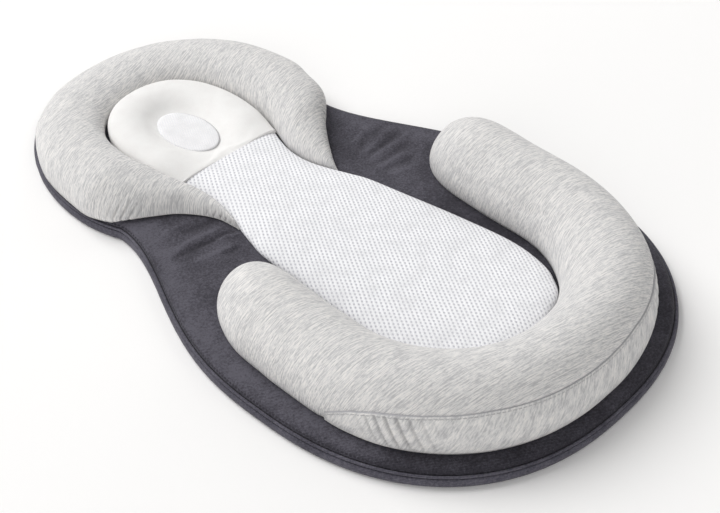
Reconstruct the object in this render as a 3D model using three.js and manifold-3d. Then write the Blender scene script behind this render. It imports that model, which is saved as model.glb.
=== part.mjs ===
// Infant lounger: a flat padded base carries a horseshoe bolster with a dished pillow at the head end,
// a U-shaped bolster at the foot end and a spacer-mesh strip between them. A zip across the underside
// opens the base. X is the width, +Y points to the head end, +Z is up and the floor is z = 0.

import * as THREE from 'three';
import Module from 'manifold-3d';
import { mergeVertices } from 'three/addons/utils/BufferGeometryUtils.js';

const wasm = await Module();
wasm.setup();

// Overall sizes in millimetres
const LENGTH = 666;
const WIDTH = 400;
const BASE_HEIGHT = 16;

// Clearances
const SEAT_GAP = 0.3; // between pieces that touch
const TUCK_GAP = 1.2; // between soft pieces that lie side by side
const OVERRUN = 5; // how far a cutter passes the face that it cuts

// Fabric thicknesses
const COVER_THICKNESS = 1.6;
const QUILTED_THICKNESS = 2.6;

// Points along the smooth outlines before they are spaced evenly
const OUTLINE_SAMPLES = 40;

// Outline of the base, measured from its two ends
const FOOT_LENGTH = 208; // from the foot end to the widest place
const FOOT_SQUARENESS_SHARE = 2.31; // exponent of the foot end's curve
const HEAD_LENGTH = 161; // from the head end to the widest place of the head
const HEAD_HALF_WIDTH = 139.5;
const WAIST_LENGTH = 47; // from the widest place of the head to the waist
const WAIST_HALF_WIDTH = 131;
const FOOT_BLEND_SHARE = 1.4; // exponent of the foot-to-waist blend
const HEAD_BLEND_SHARE = 0.57; // exponent of the waist-to-head blend
const BASE_STATIONS = 84;
const FOOT_WIDEST_Y = FOOT_LENGTH - LENGTH / 2;
const HEAD_WIDEST_Y = LENGTH / 2 - HEAD_LENGTH;
const WAIST_Y = HEAD_WIDEST_Y - WAIST_LENGTH;

// Edge of the base: a boxed band, piping in the seam and the roll of the top panel
const BAND_HEIGHT = 8.1;
const BAND_THICKNESS = 1.4;
const BAND_BULGE = 1.1;
const BAND_SIDES = 2;
const PIPING_RADIUS = 1.3;
const PIPING_SIDES = 6;
const EDGE_ROLL = 5;
const EDGE_ROLL_SHARES = [[0, 0], [0.24, 0.72], [1, 1]]; // inward and up
const BAND_TOP = SEAT_GAP + BAND_HEIGHT;
const PIPING_INSET = BAND_BULGE + PIPING_RADIUS;
const PIPING_Z = BAND_TOP + SEAT_GAP + PIPING_RADIUS;
const TOP_SEAM_INSET = PIPING_INSET + PIPING_RADIUS + SEAT_GAP;
const LINING_INSET = BAND_BULGE + BAND_THICKNESS + SEAT_GAP;

// Leg bolster: its place on the base, its section and its round ends
const LEG_SIDE_MARGIN = 25; // from the widest edge of the base
const LEG_FOOT_MARGIN = 15.5; // from the foot edge of the base
const LEG_HALF_WIDTH = 38.5;
const LEG_HEIGHT = 58;
const LEG_LIFT = 14; // height of its widest line above the base
const LEG_REACH = 136.5; // length of the bend's centre line along Y
const LEG_SQUARENESS_SHARE = 2.26; // exponent of the bend's curve
const LEG_CORNER_SWELL = 2.5; // added half width at the two corners, inward
const LEG_BEND_LENGTH_SHARE = 0.32; // of the whole centre line, on each side of the foot end
const LEG_ARM_LENGTH = 127.5;
const LEG_TOE_IN = 1;
const LEG_CAP_LENGTH = 62;
const LEG_CAP_SQUARENESS_SHARE = 2.3;
const LEG_CAP_STATION_SHARES = [0, 0.03, 0.1, 0.22, 0.42, 0.68];
const LEG_STATIONS = 26;
const LEG_PATH_DIVISIONS = 800;
const LEG_HALF_SPAN = WIDTH / 2 - LEG_SIDE_MARGIN - LEG_HALF_WIDTH;
const LEG_FOOT_Y = LEG_FOOT_MARGIN + LEG_HALF_WIDTH - LENGTH / 2;
const LEG_BEND_Y = LEG_FOOT_Y + LEG_REACH;

// Side panel of the leg bolster below the sewn line at the foot end
const GUSSET_HEIGHT = 41;
const GUSSET_SPREAD = 205; // length along the centre line on each side of the foot end
const GUSSET_TAPER = 75;
const GUSSET_SIDES = 3;

// Head pillow
const PILLOW_HEAD_MARGIN = 77; // from the head edge of the base
const PILLOW_SIDE_MARGIN = 73.5; // from the widest edge of the head
const PILLOW_SQUARENESS_SHARE = 2.25; // exponent of its head end's curve
const PILLOW_NECK_LENGTH = 55; // from its widest place to the seam
const PILLOW_NARROWING = 10; // on each side, down to the seam
const PILLOW_NARROWING_SHARE = 1.6; // exponent of the narrowing
const PILLOW_HEIGHT = 16.5;
// Spread from the disc's edge to the pillow's edge, and height
const PILLOW_PROFILE_SHARES = [
  [1, 0], [1, 0.26], [0.97, 0.5], [0.87, 0.76], [0.7, 0.94], [0.5, 1], [0.3, 0.84], [0.12, 0.5], [0, 0.34],
];
const PILLOW_STATIONS = 44;
const SEAM_STATIONS = 8;
const PILLOW_HALF_WIDTH = HEAD_HALF_WIDTH - PILLOW_SIDE_MARGIN;
const PILLOW_TOP_Y = LENGTH / 2 - PILLOW_HEAD_MARGIN;
const SEAM_Y = HEAD_WIDEST_Y - PILLOW_NECK_LENGTH;
const SEAM_HALF_WIDTH = PILLOW_HALF_WIDTH - PILLOW_NARROWING;

// Disc in the dish of the pillow
const DISC_OFFSET = 2.7; // of its middle from the widest place of the head
const DISC_HALF_WIDTH = 23.5;
const DISC_HALF_LENGTH = 37;
const DISC_CROWN = 1.2;
const DISC_CROWN_SHARES = [[0, 0], [0.25, 0.75], [0.5, 1]]; // inward and up
const DISC_Y = HEAD_WIDEST_Y + DISC_OFFSET;

// Body panel: its outline as shares of its length from the seam and of its half width
const PANEL_SIDE_CLEARANCE = 11.5; // from the leg bolster's arms
const PANEL_OUTLINE_SHARES = [
  [0, 0.647], [0.036, 0.59], [0.076, 0.545], [0.118, 0.526], [0.16, 0.535], [0.205, 0.58],
  [0.27, 0.68], [0.33, 0.765], [0.468, 0.856], [0.609, 0.948], [0.749, 1], [0.84, 0.955],
  [0.9, 0.85], [0.955, 0.62], [1, 0],
];
const PANEL_NECK_POINTS = 5; // points of the outline between the seam and the head bolster's tips
const PANEL_HEIGHT = 11.5;
const PANEL_SEAM_HEIGHT = 9;
const PANEL_RISE_LENGTH = 60;
const PANEL_FALL_LENGTH = 34;
const PANEL_SQUARENESS_SHARE = 3; // exponent of its section
const PANEL_STATIONS = 24;
const PANEL_HALF_WIDTH = LEG_HALF_SPAN - LEG_HALF_WIDTH - PANEL_SIDE_CLEARANCE;
const PANEL_START_Y = SEAM_Y - SEAT_GAP;
const PANEL_END_Y = LEG_FOOT_Y + LEG_HALF_WIDTH + TUCK_GAP;

// Head bolster: its edges, its tips and its section
const HEAD_EDGE_INSET = 3;
const HEAD_HEIGHT = 34;
const HEAD_LIFT_SHARE = 0.22; // height of the widest line over the height
const HEAD_TURN_SHARES = [0, 0.25, 0.5, 0.75, 1]; // places round a quarter turn
const HEAD_SIDE_SHARES = [0.44, 0.8]; // places along the pillow's narrowing
// Outer edge of an arm from its inner edge: outward and back, over the width where the arm starts
const HEAD_ARM_SHARES = [
  [1.01, 0.12], [0.965, 0.145], [0.836, 0.015], [0.652, -0.015], [0.463, 0], [0.281, 0.03], [0.128, 0],
];
const HEAD_HEIGHT_SHARES = [0.74, 0.78, 0.86, 0.94, 1, 1, 0.97, 0.88, 0.74, 0.57, 0.4, 0.24, 0];
const HEAD_TIP_LENGTH = 11; // past the last of the panel's neck points
const HEAD_TIP_SPREAD = 6.8; // outward from it
const HEAD_STATIONS = 36;
const SECTION_SIDES = 10;

// Zip in the underside, across the width
const ZIP_Y = -40;
const ZIP_TRAVEL = 220;
const HEM_WIDTH = 11;
const TAPE_WIDTH = 14;
const TAPE_THICKNESS = 0.8;
const TOOTH_PITCH = 4;
const TOOTH_HEIGHT = 2;
const TOOTH_SIDE_CLEARANCE = 0.6;
const TOOTH_TIP_CLEARANCE = 0.4;
const TOOTH_TIP_SHARE = 0.8; // tip width over root width
const CORD_INSET = 1.3; // from the middle of the zip to the cord that carries the teeth
const CORD_WIDTH = 1.4;
const TOOTH_WIDTH = TOOTH_PITCH / 2 - TOOTH_SIDE_CLEARANCE;
const TOOTH_REACH = CORD_INSET - TOOTH_TIP_CLEARANCE;
const CORD_OUTER = CORD_INSET + CORD_WIDTH;

// Slider
const SLIDER_LENGTH = 12;
const SLIDER_PLATE = 1;
const SLIDER_LIP_WIDTH = 1.1;
const SLIDER_LIP_CLEARANCE = 0.6;
const SLIDER_FLARE = 0.8;
const SLIDER_POST_LENGTH = 3.2;
const SLIDER_POST_HALF_WIDTH = 1.1;
const SLIDER_REAR_HALF_WIDTH = CORD_OUTER + SLIDER_LIP_CLEARANCE + SLIDER_LIP_WIDTH;
const SLIDER_FRONT_HALF_WIDTH = SLIDER_REAR_HALF_WIDTH + SLIDER_FLARE;

// Pull and the crown that holds it
const PULL_LENGTH = 24;
const PULL_THICKNESS = 1;
const PULL_BAR = 1;
const PULL_SIDE = 1;
const PULL_HALF_WIDTH = 3.2;
const PULL_HOLE_RADIUS = 1.5;
const PULL_RUNNING_GAP = 0.2;
const CROWN_HALF_LENGTH = 3.2;
const CROWN_HALF_WIDTH = 1;
const CROWN_LEG = 1;
const CROWN_BAR = 0.9;
const CROWN_WINDOW = Math.hypot(PULL_BAR, PULL_THICKNESS) + 2 * PULL_RUNNING_GAP;
const PULL_EYE_CLEARANCE = 1.4;
const PULL_EYE_LENGTH = CROWN_HALF_LENGTH + PULL_EYE_CLEARANCE;
const PULL_EYE_HALF_WIDTH = CROWN_HALF_WIDTH + 2 * PULL_RUNNING_GAP;

// Slot in the underside, and the stops at the ends of the rows
const SLOT_SIDE_CLEARANCE = 2.8;
const SLOT_END_CLEARANCE = 2.5;
const STOP_LENGTH = 3.5;
const STOP_CLEARANCE = 0.8;
const CORNER_SEGMENTS = 6;
const SLOT_HALF_WIDTH = SLIDER_FRONT_HALF_WIDTH + SLOT_SIDE_CLEARANCE;
const SLOT_HALF_LENGTH = ZIP_TRAVEL / 2 + PULL_LENGTH + SLOT_END_CLEARANCE;
const ROW_START = -ZIP_TRAVEL / 2 - SLIDER_LENGTH / 2;
const ROW_END = ZIP_TRAVEL / 2;

// Heights of what lies on or in the base
const FLOOR_OF_CUSHIONS = BASE_HEIGHT + SEAT_GAP;
const HEM_TOP = 2 * QUILTED_THICKNESS;
const TAPE_BOTTOM = HEM_TOP + SEAT_GAP;
const TAPE_TOP = TAPE_BOTTOM + TAPE_THICKNESS;
const TOOTH_BOTTOM = (TAPE_BOTTOM + TAPE_TOP - TOOTH_HEIGHT) / 2;
const TOOTH_TOP = TOOTH_BOTTOM + TOOTH_HEIGHT;
const SLIDER_LOWER_TOP = TOOTH_BOTTOM - SEAT_GAP;
const SLIDER_LOWER_BOTTOM = SLIDER_LOWER_TOP - SLIDER_PLATE;
const SLIDER_UPPER_BOTTOM = TOOTH_TOP + SEAT_GAP;
const SLIDER_UPPER_TOP = SLIDER_UPPER_BOTTOM + SLIDER_PLATE;
const PULL_Z = SLIDER_LOWER_BOTTOM - CROWN_WINDOW / 2;

// Materials
const cloth = (color, roughness) => new THREE.MeshStandardMaterial({ color, roughness, metalness: 0 });
const slate = () => cloth(0x4a4855, 0.92);
const heather = () => cloth(0xcfceca, 0.95);
const whiteJersey = () => cloth(0xf3f1ec, 0.95);
const spacerMesh = () => cloth(0xeff0f4, 0.9);
const wadding = () => cloth(0xf2f2ee, 1);
const foam = () => cloth(0xf0e7c8, 1);
const moulded = () => cloth(0x34323c, 0.5);
const enamelledMetal = () => new THREE.MeshStandardMaterial({
  color: 0x3a3942,
  roughness: 0.4,
  metalness: 0.6,
});

// Meshes and solids

// Geometry of one closed body from triangles of points, turned so that its faces point out
function bodyFromTriangles(triangles) {
  const whole = triangles.filter(([a, b, c]) => !a.equals(b) && !b.equals(c) && !c.equals(a));
  const volume = whole.reduce((sum, [a, b, c]) => sum + a.dot(b.clone().cross(c)), 0);
  const points = whole.flatMap(([a, b, c]) => (volume < 0 ? [a, c, b] : [a, b, c]));
  const numbers = points.flatMap((p) => [p.x, p.y, p.z]);
  const geometry = new THREE.BufferGeometry();
  geometry.setAttribute('position', new THREE.Float32BufferAttribute(numbers, 3));
  return mergeVertices(geometry);
}

// Two triangles between four corners in order
const quad = (a, b, c, d) => [[a, b, c], [a, c, d]];

// Strips between two rows of points of equal length
function strip(lower, upper, closed) {
  const count = closed ? lower.length : lower.length - 1;
  return Array.from({ length: count }, (_, i) => {
    const next = (i + 1) % lower.length;
    return quad(lower[i], lower[next], upper[next], upper[i]);
  }).flat();
}

// Flat lid over a loop
function lid(loop, facingUp) {
  const flat = loop.map((p) => new THREE.Vector2(p.x, p.y));
  const faces = THREE.ShapeUtils.triangulateShape(flat, []);
  return faces.map(([a, b, c]) => (facingUp ? [loop[a], loop[b], loop[c]] : [loop[a], loop[c], loop[b]]));
}

// Body between stacked loops, with flat lids on the first and the last
function stackedBody(loops) {
  const sides = loops.slice(1).flatMap((loop, i) => strip(loops[i], loop, true));
  return bodyFromTriangles([...lid(loops[0], false), ...sides, ...lid(loops[loops.length - 1], true)]);
}

// Ring-shaped body between loops that close on the first one
function ringBody(loops) {
  return bodyFromTriangles(loops.flatMap((loop, i) => strip(loop, loops[(i + 1) % loops.length], true)));
}

// Sheet between an outer and an inner grid of points, closed round its border. With closed rows the
// border is only the first row and the last.
function sheetBody(outer, inner, closed = false) {
  const turned = (faces) => faces.map(([a, b, c]) => [a, c, b]);
  const column = (grid, j) => grid.map((row) => row[j]);
  const face = outer.slice(1).flatMap((row, i) => strip(outer[i], row, closed));
  const back = inner.slice(1).flatMap((row, i) => turned(strip(inner[i], row, closed)));
  const ends = [
    ...strip(inner[0], outer[0], closed),
    ...turned(strip(inner[inner.length - 1], outer[outer.length - 1], closed)),
  ];
  const last = outer[0].length - 1;
  const edges = closed ? [] : [
    ...turned(strip(column(inner, 0), column(outer, 0), false)),
    ...strip(column(inner, last), column(outer, last), false),
  ];
  return bodyFromTriangles([...face, ...back, ...ends, ...edges]);
}

// Body lofted through closed sections, ending in points or in flat ends
function loftedBody(rows) {
  const sides = rows.slice(1).flatMap((row, i) => strip(rows[i], row, true));
  const fan = (row) => row.slice(2).map((p, i) => [row[0], row[i + 1], p]);
  const first = fan(rows[0]).map(([a, b, c]) => [a, c, b]);
  return bodyFromTriangles([...first, ...sides, ...fan(rows[rows.length - 1])]);
}

// Solid for joining and cutting
function solid(geometry) {
  const bare = geometry.clone();
  bare.deleteAttribute('normal');
  bare.deleteAttribute('uv');
  const merged = mergeVertices(bare);
  const triVerts = Uint32Array.from(merged.index.array);
  const vertProperties = Float32Array.from(merged.attributes.position.array);
  return new wasm.Manifold(new wasm.Mesh({ numProp: 3, vertProperties, triVerts }));
}

function geometryOf(manifold) {
  const mesh = manifold.getMesh();
  const geometry = new THREE.BufferGeometry();
  geometry.setAttribute('position', new THREE.BufferAttribute(mesh.vertProperties, 3));
  geometry.setIndex(new THREE.BufferAttribute(mesh.triVerts, 1));
  return geometry;
}

function mesh(name, geometry, material) {
  const object = new THREE.Mesh(geometry, material);
  object.name = name;
  return object;
}

// Box from its lowest to its highest corner
function boxBetween(low, high) {
  const size = high.clone().sub(low);
  const box = new THREE.BoxGeometry(size.x, size.y, size.z);
  const centre = low.clone().add(high).multiplyScalar(1 / 2);
  return box.translate(centre.x, centre.y, centre.z);
}

const vector = (x, y, z) => new THREE.Vector3(x, y, z);
const signedPower = (value, exponent) => Math.sign(value) * Math.abs(value) ** exponent;
const smooth = (t) => t * t * (3 - 2 * t);
const mix = (a, b, t) => a + (b - a) * t;
const limit = (value) => Math.min(Math.max(value, 0), 1);
const steps = (count) => Array.from({ length: count + 1 }, (_, i) => i / count);

// Points at equal distances along a line of points
function resample(points, count) {
  const curve = new THREE.CurvePath();
  points.slice(1).forEach((p, i) => curve.add(new THREE.LineCurve(points[i], p)));
  return steps(count).map((t) => curve.getPoint(t));
}

// Loop moved inward by a distance, and laid at a height
function insetLoop(loop, distance, z) {
  return loop.map((p, i) => {
    const before = loop[(i + loop.length - 1) % loop.length];
    const after = loop[(i + 1) % loop.length];
    const along = after.clone().sub(before).normalize();
    return vector(p.x - along.y * distance, p.y + along.x * distance, z);
  });
}

// Profile of [inset, height] points moved to its inner side by a distance
function insetProfile(profile, distance) {
  return profile.map((p, i) => {
    const before = profile[Math.max(i - 1, 0)];
    const after = profile[Math.min(i + 1, profile.length - 1)];
    const along = after.clone().sub(before).normalize();
    return new THREE.Vector2(p.x + along.y * distance, p.y - along.x * distance);
  });
}

// Base

function baseOutline() {
  const quarter = steps(OUTLINE_SAMPLES).map((t) => (t * Math.PI) / 2);
  const foot = quarter.map((angle) => new THREE.Vector2(
    (WIDTH / 2) * Math.sin(angle) ** (2 / FOOT_SQUARENESS_SHARE),
    FOOT_WIDEST_Y - FOOT_LENGTH * Math.cos(angle) ** (2 / FOOT_SQUARENESS_SHARE),
  ));
  const flank = (fromX, toX, fromY, toY, exponent) => steps(OUTLINE_SAMPLES).slice(1).map((t) => (
    new THREE.Vector2(mix(fromX, toX, smooth(t ** exponent)), mix(fromY, toY, t))
  ));
  const head = quarter.slice(1).map((angle) => new THREE.Vector2(
    HEAD_HALF_WIDTH * Math.cos(angle),
    HEAD_WIDEST_Y + HEAD_LENGTH * Math.sin(angle),
  ));
  const half = [
    ...foot,
    ...flank(WIDTH / 2, WAIST_HALF_WIDTH, FOOT_WIDEST_Y, WAIST_Y, FOOT_BLEND_SHARE),
    ...flank(WAIST_HALF_WIDTH, HEAD_HALF_WIDTH, WAIST_Y, HEAD_WIDEST_Y, HEAD_BLEND_SHARE),
    ...head,
  ];
  const right = resample(half, BASE_STATIONS / 2);
  right[0].x = 0;
  right[right.length - 1].x = 0;
  const left = right.slice(1, -1).reverse().map((p) => new THREE.Vector2(-p.x, p.y));
  return [...right, ...left];
}

const baseLoop = baseOutline();
const baseLoops = (profile) => profile.map((p) => insetLoop(baseLoop, p.x, p.y));
const edgeProfile = EDGE_ROLL_SHARES.map(([inward, up]) => (
  new THREE.Vector2(TOP_SEAM_INSET + inward * EDGE_ROLL, mix(PIPING_Z, BASE_HEIGHT, up))
));

// Top fabric, which rolls down to the seam all round
function baseTopPanel() {
  const under = insetProfile(edgeProfile, COVER_THICKNESS);
  under[0].y = edgeProfile[0].y;
  return stackedBody(baseLoops([...under.reverse(), ...edgeProfile]));
}

// Boxed strip round the side
function baseEdgeBand() {
  const face = steps(BAND_SIDES).map((t) => (
    new THREE.Vector2(BAND_BULGE * (2 * t - 1) ** 2, mix(SEAT_GAP, BAND_TOP, t))
  ));
  const back = face.map((p) => new THREE.Vector2(p.x + BAND_THICKNESS, p.y)).reverse();
  return ringBody(baseLoops([...face, ...back]));
}

// Cord in the seam between the band and the top panel
function baseEdgePiping() {
  const section = steps(PIPING_SIDES).slice(1).map((t) => new THREE.Vector2(
    PIPING_INSET - PIPING_RADIUS * Math.cos(2 * Math.PI * t),
    PIPING_Z + PIPING_RADIUS * Math.sin(2 * Math.PI * t),
  ));
  return ringBody(baseLoops(section));
}

// Layer of the base between two heights, inside the band
function innerLayer(bottom, top) {
  return solid(stackedBody(baseLoops([bottom, top].map((z) => new THREE.Vector2(LINING_INSET, z)))));
}

// Box between two distances across the width and two along the length, measured from the middle of the zip
function boxAtZip([fromX, toX], [fromY, toY], bottom, top) {
  return boxBetween(
    vector(Math.min(fromX, toX), ZIP_Y + Math.min(fromY, toY), bottom),
    vector(Math.max(fromX, toX), ZIP_Y + Math.max(fromY, toY), top),
  );
}

// Part of a layer on one side of the zip, from a distance on: side is 1 at the head end and -1 at the foot
function besideZip(layer, side, distance) {
  const ends = [side * distance, side * LENGTH];
  return layer.intersect(solid(boxAtZip([-WIDTH, WIDTH], ends, -OVERRUN, BASE_HEIGHT)));
}

// Upper padding sheet, which lies over the zip
function baseWaddingUpper() {
  const top = insetProfile(edgeProfile, COVER_THICKNESS + SEAT_GAP);
  const bottom = new THREE.Vector2(top[0].x, SLIDER_UPPER_TOP + SEAT_GAP);
  return stackedBody(baseLoops([bottom, ...top]));
}

// Lower padding sheet on one side of the zip
function baseWaddingLower(side) {
  const layer = innerLayer(QUILTED_THICKNESS + SEAT_GAP, SLIDER_UPPER_TOP);
  return geometryOf(besideZip(layer, side, SLOT_HALF_WIDTH + HEM_WIDTH + SEAT_GAP));
}

// Quilted bottom on one side of the zip, with its edge folded in along the zip
function baseUndersidePanel(side) {
  const panel = besideZip(innerLayer(0, QUILTED_THICKNESS), side, SLOT_HALF_WIDTH);
  const reach = SLOT_HALF_LENGTH + HEM_WIDTH;
  const ends = [side * SLOT_HALF_WIDTH, side * (SLOT_HALF_WIDTH + HEM_WIDTH)];
  const hem = boxAtZip([-reach, reach], ends, QUILTED_THICKNESS / 2, HEM_TOP);
  return geometryOf(panel.add(solid(hem)));
}

// Patch past one end of the zip, with its edge folded in at the zip: side is 1 or -1
function baseUndersideTab(side) {
  const ends = [SEAT_GAP - SLOT_HALF_WIDTH, SLOT_HALF_WIDTH - SEAT_GAP];
  const past = boxAtZip([side * SLOT_HALF_LENGTH, side * WIDTH], ends, -OVERRUN, BASE_HEIGHT);
  const patch = innerLayer(0, QUILTED_THICKNESS).intersect(solid(past));
  const hemEnds = [side * SLOT_HALF_LENGTH, side * (SLOT_HALF_LENGTH + HEM_WIDTH)];
  const hem = boxAtZip(hemEnds, ends, QUILTED_THICKNESS / 2, HEM_TOP);
  return geometryOf(patch.add(solid(hem)));
}

// Bolsters

// One row of points over a domed section, at shares of the way from its outer foot to its inner foot
function domeRow(station, inset, shares = steps(SECTION_SIDES)) {
  const { centre, across, lift, squareness = 2 } = station;
  const halfWidth = station.halfWidth - inset;
  const rise = station.height - lift - inset;
  if (halfWidth <= SEAT_GAP || rise <= SEAT_GAP) {
    return shares.map(() => vector(centre.x, centre.y, FLOOR_OF_CUSHIONS));
  }
  const low = -Math.asin(Math.min(lift / rise, 1));
  return shares.map((share) => {
    const angle = mix(low, Math.PI - low, share);
    const out = halfWidth * signedPower(Math.cos(angle), 2 / squareness);
    const up = lift + rise * signedPower(Math.sin(angle), 2 / squareness);
    const z = Math.max(FLOOR_OF_CUSHIONS + up, FLOOR_OF_CUSHIONS);
    return vector(centre.x + across.x * out, centre.y + across.y * out, z);
  });
}

// Centre line of the leg bolster, from the end of its left arm round the foot end to its right arm
class LegPath extends THREE.Curve {
  getPoint(t, target = new THREE.Vector3()) {
    const side = Math.sign(t - 1 / 2);
    const along = Math.abs(2 * t - 1) * 2;
    const angle = (Math.min(along, 1) * Math.PI) / 2;
    const arm = Math.max(along - 1, 0);
    const x = LEG_HALF_SPAN * Math.sin(angle) ** (2 / LEG_SQUARENESS_SHARE) - LEG_TOE_IN * arm * arm;
    const bendY = LEG_BEND_Y - LEG_REACH * Math.cos(angle) ** (2 / LEG_SQUARENESS_SHARE);
    return target.set(side * x, bendY + LEG_ARM_LENGTH * arm, 0);
  }
}

const legPath = new LegPath();
legPath.arcLengthDivisions = LEG_PATH_DIVISIONS;
const legLength = legPath.getLength();

// Places of the leg bolster's stations, as distances from the end of the left arm
function legDistances(inset) {
  const cap = LEG_CAP_LENGTH;
  const start = LEG_CAP_STATION_SHARES.map((share) => share * cap);
  const middle = steps(LEG_STATIONS).map((t) => mix(cap, legLength - cap, t));
  const end = start.map((d) => legLength - d).reverse();
  const scale = (legLength - 2 * inset) / legLength;
  return [...start, ...middle, ...end].map((d) => inset + d * scale);
}

// Station of the leg bolster at a distance along its centre line
function legStation(distance, inset) {
  const share = distance / legLength;
  const centre = legPath.getPointAt(share);
  const along = legPath.getTangentAt(share);
  const fromEnd = Math.min(distance, legLength - distance) - inset;
  const into = limit(fromEnd / (LEG_CAP_LENGTH - inset));
  const cap = (1 - (1 - into) ** LEG_CAP_SQUARENESS_SHARE) ** (1 / LEG_CAP_SQUARENESS_SHARE);
  const across = vector(along.y, -along.x, 0);
  const corner = Math.min(Math.abs(share - 1 / 2) / LEG_BEND_LENGTH_SHARE, 1);
  const swell = LEG_CORNER_SWELL * Math.sin(Math.PI * corner) ** 2;
  return {
    centre: centre.addScaledVector(across, -swell),
    across,
    halfWidth: (LEG_HALF_WIDTH + swell) * cap,
    height: LEG_HEIGHT * cap,
    lift: LEG_LIFT * cap,
  };
}

// Share of the way over the section where the sewn line runs: zero away from the foot end
function seamShare(distance) {
  const fromFoot = Math.abs(distance - legLength / 2);
  const taper = limit((GUSSET_SPREAD - fromFoot) / GUSSET_TAPER);
  const rise = LEG_HEIGHT - LEG_LIFT;
  const low = Math.asin(LEG_LIFT / rise);
  const seam = Math.asin((GUSSET_HEIGHT - LEG_LIFT) / rise);
  return ((seam + low) / (Math.PI + 2 * low)) * smooth(taper);
}

const gussetShares = (distance, end) => steps(GUSSET_SIDES).map((t) => t * (seamShare(distance) - end));
const coverShares = (distance) => steps(SECTION_SIDES).map((t) => mix(seamShare(distance), 1, t));

function legRows(inset, sharesAt) {
  return legDistances(inset).map((distance) => (
    domeRow(legStation(distance, inset), inset, sharesAt(distance))
  ));
}

// Jersey cover of the leg bolster, down to the base or to the sewn line of the side panel
const legBolsterCover = () => sheetBody(legRows(0, coverShares), legRows(COVER_THICKNESS, coverShares));

// Crescent-shaped side panel below the sewn line
function legBolsterGusset() {
  const gap = SEAT_GAP / LEG_HEIGHT;
  const used = legDistances(0).map((distance) => seamShare(distance) > (GUSSET_SIDES + 1) * gap);
  const sharesAt = (distance) => gussetShares(distance, gap);
  const rows = (inset) => legRows(inset, sharesAt).filter((row, i) => used[i]);
  return sheetBody(rows(0), rows(COVER_THICKNESS));
}

function legBolsterFilling() {
  const sharesAt = (distance) => [...gussetShares(distance, 0).slice(0, -1), ...coverShares(distance)];
  return loftedBody(legRows(COVER_THICKNESS + SEAT_GAP, sharesAt));
}

// Pillow

// Half outline of the well's head end, from its top at the centre line down to the seam
function wellPoint(angle, clearance) {
  return new THREE.Vector2(
    (PILLOW_HALF_WIDTH + clearance) * Math.sin(angle) ** (2 / PILLOW_SQUARENESS_SHARE),
    mix(HEAD_WIDEST_Y, PILLOW_TOP_Y + clearance, Math.cos(angle) ** (2 / PILLOW_SQUARENESS_SHARE)),
  );
}

function wellSidePoint(share, clearance) {
  return new THREE.Vector2(
    mix(PILLOW_HALF_WIDTH, SEAM_HALF_WIDTH, share ** PILLOW_NARROWING_SHARE) + clearance,
    mix(HEAD_WIDEST_Y, SEAM_Y, share),
  );
}

function pillowOutline() {
  const head = steps(OUTLINE_SAMPLES).map((t) => wellPoint((t * Math.PI) / 2, 0));
  const side = steps(OUTLINE_SAMPLES).slice(1).map((t) => wellSidePoint(t, 0));
  const sideCount = (PILLOW_STATIONS - SEAM_STATIONS) / 2;
  const left = resample([...head, ...side], sideCount).map((p) => new THREE.Vector2(-p.x, p.y));
  left[0].x = 0;
  const seam = steps(SEAM_STATIONS).slice(1, -1).map((t) => (
    new THREE.Vector2(mix(-SEAM_HALF_WIDTH, SEAM_HALF_WIDTH, t), SEAM_Y)
  ));
  const right = left.slice(1).reverse().map((p) => new THREE.Vector2(-p.x, p.y));
  return [...left, ...seam, ...right];
}

const pillowLoop = pillowOutline();

// Oval round the middle of the dish, with one point for each point of the pillow's outline
function discLoop(inset) {
  return pillowLoop.map((p) => {
    const angle = Math.atan2(p.y - DISC_Y, p.x);
    return new THREE.Vector2(
      (DISC_HALF_WIDTH - inset) * Math.cos(angle),
      DISC_Y + (DISC_HALF_LENGTH - inset) * Math.sin(angle),
    );
  });
}

// Loops over the pillow's surface from its foot to the edge of the disc
function pillowRows() {
  const oval = discLoop(0);
  return PILLOW_PROFILE_SHARES.map(([spread, height]) => pillowLoop.map((p, i) => vector(
    mix(oval[i].x, p.x, spread),
    mix(oval[i].y, p.y, spread),
    FLOOR_OF_CUSHIONS + height * PILLOW_HEIGHT,
  )));
}

// The same loops moved inside the surface by a distance
function pillowRowsInside(distance) {
  const rows = pillowRows();
  const last = rows.length - 1;
  return rows.map((row, i) => row.map((p, j) => {
    const along = row[(j + 1) % row.length].clone().sub(row[(j + row.length - 1) % row.length]);
    const up = rows[Math.min(i + 1, last)][j].clone().sub(rows[Math.max(i - 1, 0)][j]);
    const inward = up.cross(along).normalize();
    const moved = p.clone().addScaledVector(inward, distance);
    moved.z = i === 0 ? FLOOR_OF_CUSHIONS : moved.z;
    return i === last ? vector(p.x, p.y, p.z - distance) : moved;
  }));
}

function headPillowCover() {
  return sheetBody(pillowRows(), pillowRowsInside(COVER_THICKNESS), true);
}

function headPillowFoam() {
  return stackedBody(pillowRowsInside(COVER_THICKNESS + SEAT_GAP));
}

// Oval insert sewn into the dish
function headPillowDisc() {
  const [, edgeHeight] = PILLOW_PROFILE_SHARES[PILLOW_PROFILE_SHARES.length - 1];
  const top = FLOOR_OF_CUSHIONS + edgeHeight * PILLOW_HEIGHT;
  const lay = (inset, z) => discLoop(inset).map((p) => vector(p.x, p.y, z));
  const crown = DISC_CROWN_SHARES.map(([inward, up]) => (
    lay(SEAT_GAP + inward * DISC_HALF_WIDTH, top + up * DISC_CROWN)
  ));
  return stackedBody([lay(SEAT_GAP, top - COVER_THICKNESS), ...crown]);
}

// Body panel

const panelPoint = ([along, width], clearance) => new THREE.Vector2(
  width * PANEL_HALF_WIDTH + clearance,
  mix(PANEL_START_Y, PANEL_END_Y, along),
);
const panelEdge = new THREE.SplineCurve(PANEL_OUTLINE_SHARES.map((share) => panelPoint(share, 0)));

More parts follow.
